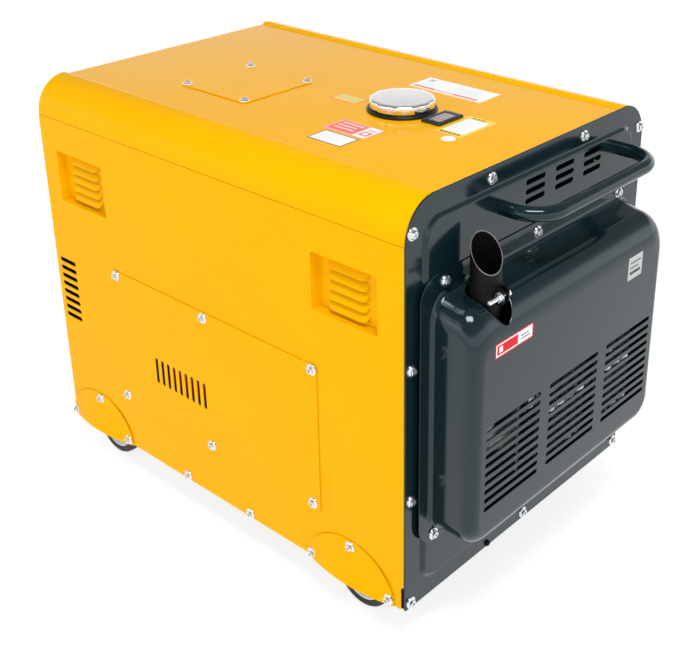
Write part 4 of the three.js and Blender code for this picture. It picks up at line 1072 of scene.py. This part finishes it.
def build_base():
    pan = Form()
    slots = [oblong(x, 0, 80, 12) for x in (-220, -110, 0, 110, 220)]
    outline = rounded(-390, -274, 390, 274, 6)
    plate = sheet("base_floor", outline, slots, "XY", FLOOR, FLOOR_THICKNESS, 0.6)
    for y in (-90, 90):
        pan.box(-300, 200, y - 20, y + 20, FLOOR - 3, FLOOR + 0.05, 0.5)
        pan.box(-300, 200, y - 20, y + 20, FLOOR + FLOOR_THICKNESS - 0.1, 165, 1.0)
    for y in (-244, 244):
        pan.prism(centred(-289, y, 54, 28, 8), "XY", FLOOR - 6, FLOOR + 0.05, 0.6)
    # The floor's folded edge stands behind the exhaust end's lower openings.
    pan.box(386, 388, -270, 270, BOTTOM + 2, FLOOR + 0.05, 0.4)
    for y in (-274, 274):
        pan.box(372, 391.4, y - 1.2, y + 1.2, BOTTOM + 0.4, FLOOR + 0.05, 0.3)
    piece("base_floor", combined(plate, pan.mesh("base_rails")), BLACK, replaces="base_pan")


# ---------------- control end
def build_control_end():
    cutter = slot_cutter([(y, BOTTOM + 90 + 18 * i) for y in (-110, 110) for i in range(8)], 120, 9)
    build_end_panel(-1, cutter, "control_end_panel")
    edge = [(y, BOTTOM + z) for y in (-262, 262) for z in (12, 184.5, 388.6, 570)] + [
        (-110, 672 - 5), (110, 672 - 5), (0, 73)
    ]
    screws("control_rim_screws", edge, "-X", -END)


FACE_X = -403.3
SOCKETS = (-105, -30)


def build_control_panel():
    """The dark plastic control board with its two sockets, circuit breaker, stop button, key and meter."""

    def turned(form, profile, y, z, sides=40, closed=False):
        return form.lathe(profile, (FACE_X, y, z), "X", sides, closed)

    def block(form, outline, front, back=-0.5, bevel=0.0):
        return form.prism(outline, "YZ", FACE_X - front, FACE_X - back, bevel)

    form = Form()
    form.prism(rounded(-160, 385, 160, 590, 12, 8), "YZ", FACE_X, -400.3, 0.8)
    for y in SOCKETS:
        block(form, centred(y, 445, 27, 27, 4), 6.4, bevel=1.0)
    well = block(Form(), centred(60, 445, 7, 18, 1.5, 3), 16, 2)
    breaker = block(Form(), centred(60, 445, 18, 34, 3), 14, bevel=1.0)
    hole = Form().disc(9.6, -20, -0.5, (FACE_X, 115, 445), "X", 32)
    turned(form, [(9.6, 0.5), (14, 0.5), (14, -5.6), (12.8, -7), (9.6, -7)], 115, 445, closed=True)
    turned(form.use(1), [(0, 0.5), (13, 0.5), (13, -3.6), (11.6, -5), (0, -5)], 110, 540)
    block(form.use(0), rounded(-60, 515, 0, 565, 4), 8, bevel=1.2)
    board = combined(carve(form, hole), carve(breaker, well))
    piece("control_board", board, [PLASTIC, CHROME], replaces="control_panel", weighted=False)

    dial = Form()
    block(dial, rounded(-55, 522, -5, 561, 2), 8.2, 7.9)
    dial.use(1)
    for i in range(9):
        a = math.radians(140 - 12.5 * i)
        u, v = math.cos(a), math.sin(a)
        corners = ((22, 0.4), (26, 0.4), (26, -0.4), (22, -0.4))
        block(dial, [(-30 + r * u - w * v, 528 + r * v + w * u) for r, w in corners], 8.32, 8.15)
    needle = [(-30.6, 527), (-29.4, 527), (-17.6, 549), (-18.2, 549.4)]
    block(dial.use(2), needle, 8.5, 8.3)
    piece("meter_dial", dial, [WHITE_LABEL, BLACK_LABEL, RED_LABEL], weighted=False)

    outlets = Form()
    rim = [(19, -6.3), (21, -6.3), (21.6, -7.4), (20.6, -8.6), (19, -8.6)]
    for y in SOCKETS:
        turned(outlets.use(0), rim, y, 445, closed=True)
        outlets.disc(19.1, -6.2, -6.9, (FACE_X, y, 445), "X", 40)
        outlets.use(1)
        for u in (-9.5, 9.5):
            outlets.disc(2.5, -6.8, -7.1, (FACE_X, y + u, 445), "X", 16)
        outlets.use(2)
        for v in (-17, 17):
            block(outlets, centred(y, 445 + v, 2, 1.6, 0.6, 2), 8.4, 6.5)
    piece("socket_faces", outlets, [GREY_PLASTIC, BLACK_LABEL, ZINC], weighted=False)

    lamps = Form()
    dome = [(0, 0.2), (6.3, 0.2), (6.1, -2.6), (4.6, -4.6), (2.4, -5.6), (0, -5.9)]
    for y, finish in ((30, 2), (55, 0)):
        turned(lamps.use(1), [(6.2, 0.3), (8, 0.3), (8, -2), (6.8, -3), (6.2, -3)], y, 540, 32, True)
        turned(lamps.use(finish), dome, y, 540, 32)
    lamps.use(1)
    for y, z in ((-152, 393), (-152, 582), (152, 393), (152, 582)):
        turned(lamps, [(0, 0.2), (3.6, 0.2), (3.4, -1.2), (2, -2), (0, -2.2)], y, z, 24)
    piece("board_lamps", lamps, [RED, CHROME, GREEN], weighted=False)

    marks = Form()
    bar = stamper(marks, "YZ", FACE_X - 0.12, 0.14)
    for y in SOCKETS:
        bar(0, y - 16, 404, y + 16, 406)
    bar(0, 46, 398, 74, 400)
    bar(1, 100, 470, 130, 473)
    bar(0, 96, 566, 124, 568)
    bars(bar, 0, -148, 548, -8, 2, (52, 60, 44))
    piece("board_marks", marks, [WHITE_LABEL, RED_LABEL], weighted=False)
    for number, y in enumerate(SOCKETS, 1):
        build_lid(number, y)


def build_lid(number, y):
    """A sprung lid with a raised round boss and a finger lip, hinged along its top edge."""
    form = Form()
    back, front = FACE_X - 9.3, FACE_X - 14.3
    form.prism(rounded(y - 27, 418, y + 27, 470.5, 5), "YZ", front, back, 1.0)
    boss = [(15, 0.1), (20, 0.1), (20, -0.1), (18.4, -0.6), (16.4, -0.6), (15, -0.1)]
    form.lathe([(r, h) for r, h in boss], (front, y, 445), "X", 40)
    form.prism(rounded(y - 10, 414.6, y + 10, 419, 2), "YZ", front + 0.6, back - 1.0, 0.5)
    name = f"socket_lid_{number}"
    piece(f"lid_{number}", form, PLASTIC, name, name, weighted=False)


# ---------------- service door
DOOR = (-178, 172, 178, 488)


def build_door():
    panel = sheet("door", rounded(*DOOR, 10), [], "XZ", SIDE + 0.3, 1.8, 0.5)
    piece("door_sheet", panel, YELLOW, "service_door", "service_door")
    places = [(-201, z) for z in (232, 330, 428)]
    screws("hinge_screws", places, "Y", SIDE + 2.0, scale=0.62)


def build_door_side():
    screws("door_foot_screws", [(-78, BOTTOM + 8), (74, BOTTOM + 8)], "Y", SIDE)
    build_arch_screws(1)


# ---------------- small pressings and a sheet of painted shade
def build_seam_tabs():
    form = Form()
    for side in (-1, 1):
        start = min(side * SIDE, side * (SIDE + 0.5))
        form.prism(
            rounded(END - 16, SEAM - 3.2, END - 5, SEAM - 0.6, 0.8, 3), "XZ", start, start + 0.5, 0.1
        )
    piece("seam_tabs", form, YELLOW, weighted=False)


def build_slot_shade_sheet():
    """A near-black sheet behind the exhaust end's upper slots: painted shade, so the slots look dark."""
    form = Form()
    form.prism(rounded(-52, 586, 170, 652, 6), "YZ", 372, 380, 1.5)
    # Painted shade: this dark sheet stands where the slots show only shadow.
    piece("slot_shade_sheet", form, SOOT_AND_SHADE, weighted=False)


# ---------------- build the pieces
build_roof()
build_service_side()
build_side(1, (DOOR[0] + 8, DOOR[1] + 8, DOOR[2] - 8, DOOR[3] - 8))
build_door_side()
build_door()
for side in (-1, 1):
    for window, end in zip(WINDOWS, ("control", "exhaust")):
        build_louvres(side, window, end)
    for x, end in zip(ARCHES, ("exhaust", "control")):
        build_arch(side, x, end)
build_exhaust_end()
build_handle("exhaust", 1, 62, "handle_exhaust_end")
build_handle("control", -1, 0, "handle_control_end")
build_cover()
build_pipe()
build_filler()
build_gauge()
build_labels()
build_base()
build_control_end()
build_control_panel()
build_seam_tabs()
for side in ("service", "door"):
    build_fixed_castor(f"exhaust_{side}", *EXHAUST_CASTORS[side])
    build_swivel_castor(f"control_{side}", *CONTROL_CASTORS[side])
build_slot_shade_sheet()

# ---------------- floor and light
floor_mesh = bpy.data.meshes.new("floor")
floor_mesh.from_pydata([(-9, -9, 0), (9, -9, 0), (9, 9, 0), (-9, 9, 0)], [], [(0, 1, 2, 3)])
paper = material("floor_paper", (0.45, 0.45, 0.45), 0.85, grain=(200, 0.00005), tint=0.01)
paper.node_tree.nodes["Principled BSDF"].inputs["Emission Color"].default_value = (1, 1, 1, 1)
paper.node_tree.nodes["Principled BSDF"].inputs["Emission Strength"].default_value = 0.8
floor_mesh.materials.append(paper)
floor = bpy.data.objects.new("floor", floor_mesh)
link(floor)

world = bpy.data.worlds.new("studio")
world.use_nodes = True
bpy.context.scene.world = world
sky = world.node_tree
direction = sky.nodes.new("ShaderNodeTexCoord").outputs["Generated"]
split = sky.nodes.new("ShaderNodeSeparateXYZ")
ramp = sky.nodes.new("ShaderNodeValToRGB")
stops = ((0.22, 1.2), (0.26, 1.05), (0.30, 0.75), (0.355, 0.42), (0.5, 0.27), (0.8, 0.22))
for i, (position, shade) in enumerate(stops):
    stop = ramp.color_ramp.elements[i] if i < 2 else ramp.color_ramp.elements.new(position)
    stop.position = position
    stop.color = (shade * 0.97, shade * 0.99, shade, 1)
sky.links.new(direction, split.inputs["Vector"])
sky.links.new(split.outputs["Z"], ramp.inputs["Fac"])
sky.links.new(ramp.outputs["Color"], sky.nodes["Background"].inputs["Color"])
sky.nodes["Background"].inputs["Strength"].default_value = 1.35


def area_light(name, location, target, size, power, color=(1, 1, 1)):
    data = bpy.data.lights.new(name, "AREA")
    data.shape = "RECTANGLE"
    data.size, data.size_y = size
    data.energy = power
    data.color = color
    light = bpy.data.objects.new(name, data)
    light.location = location
    light.rotation_euler = (Vector(target) - Vector(location)).to_track_quat("-Z", "Y").to_euler()
    link(light)


area_light("softbox", (1.0, -0.7, 2.6), (0.3, 0, 0.3), (1.2, 0.6), 38)
area_light("side_fill", (-1.2, -3.2, 1.9), (0, 0, 0.3), (2.2, 1.6), 10)
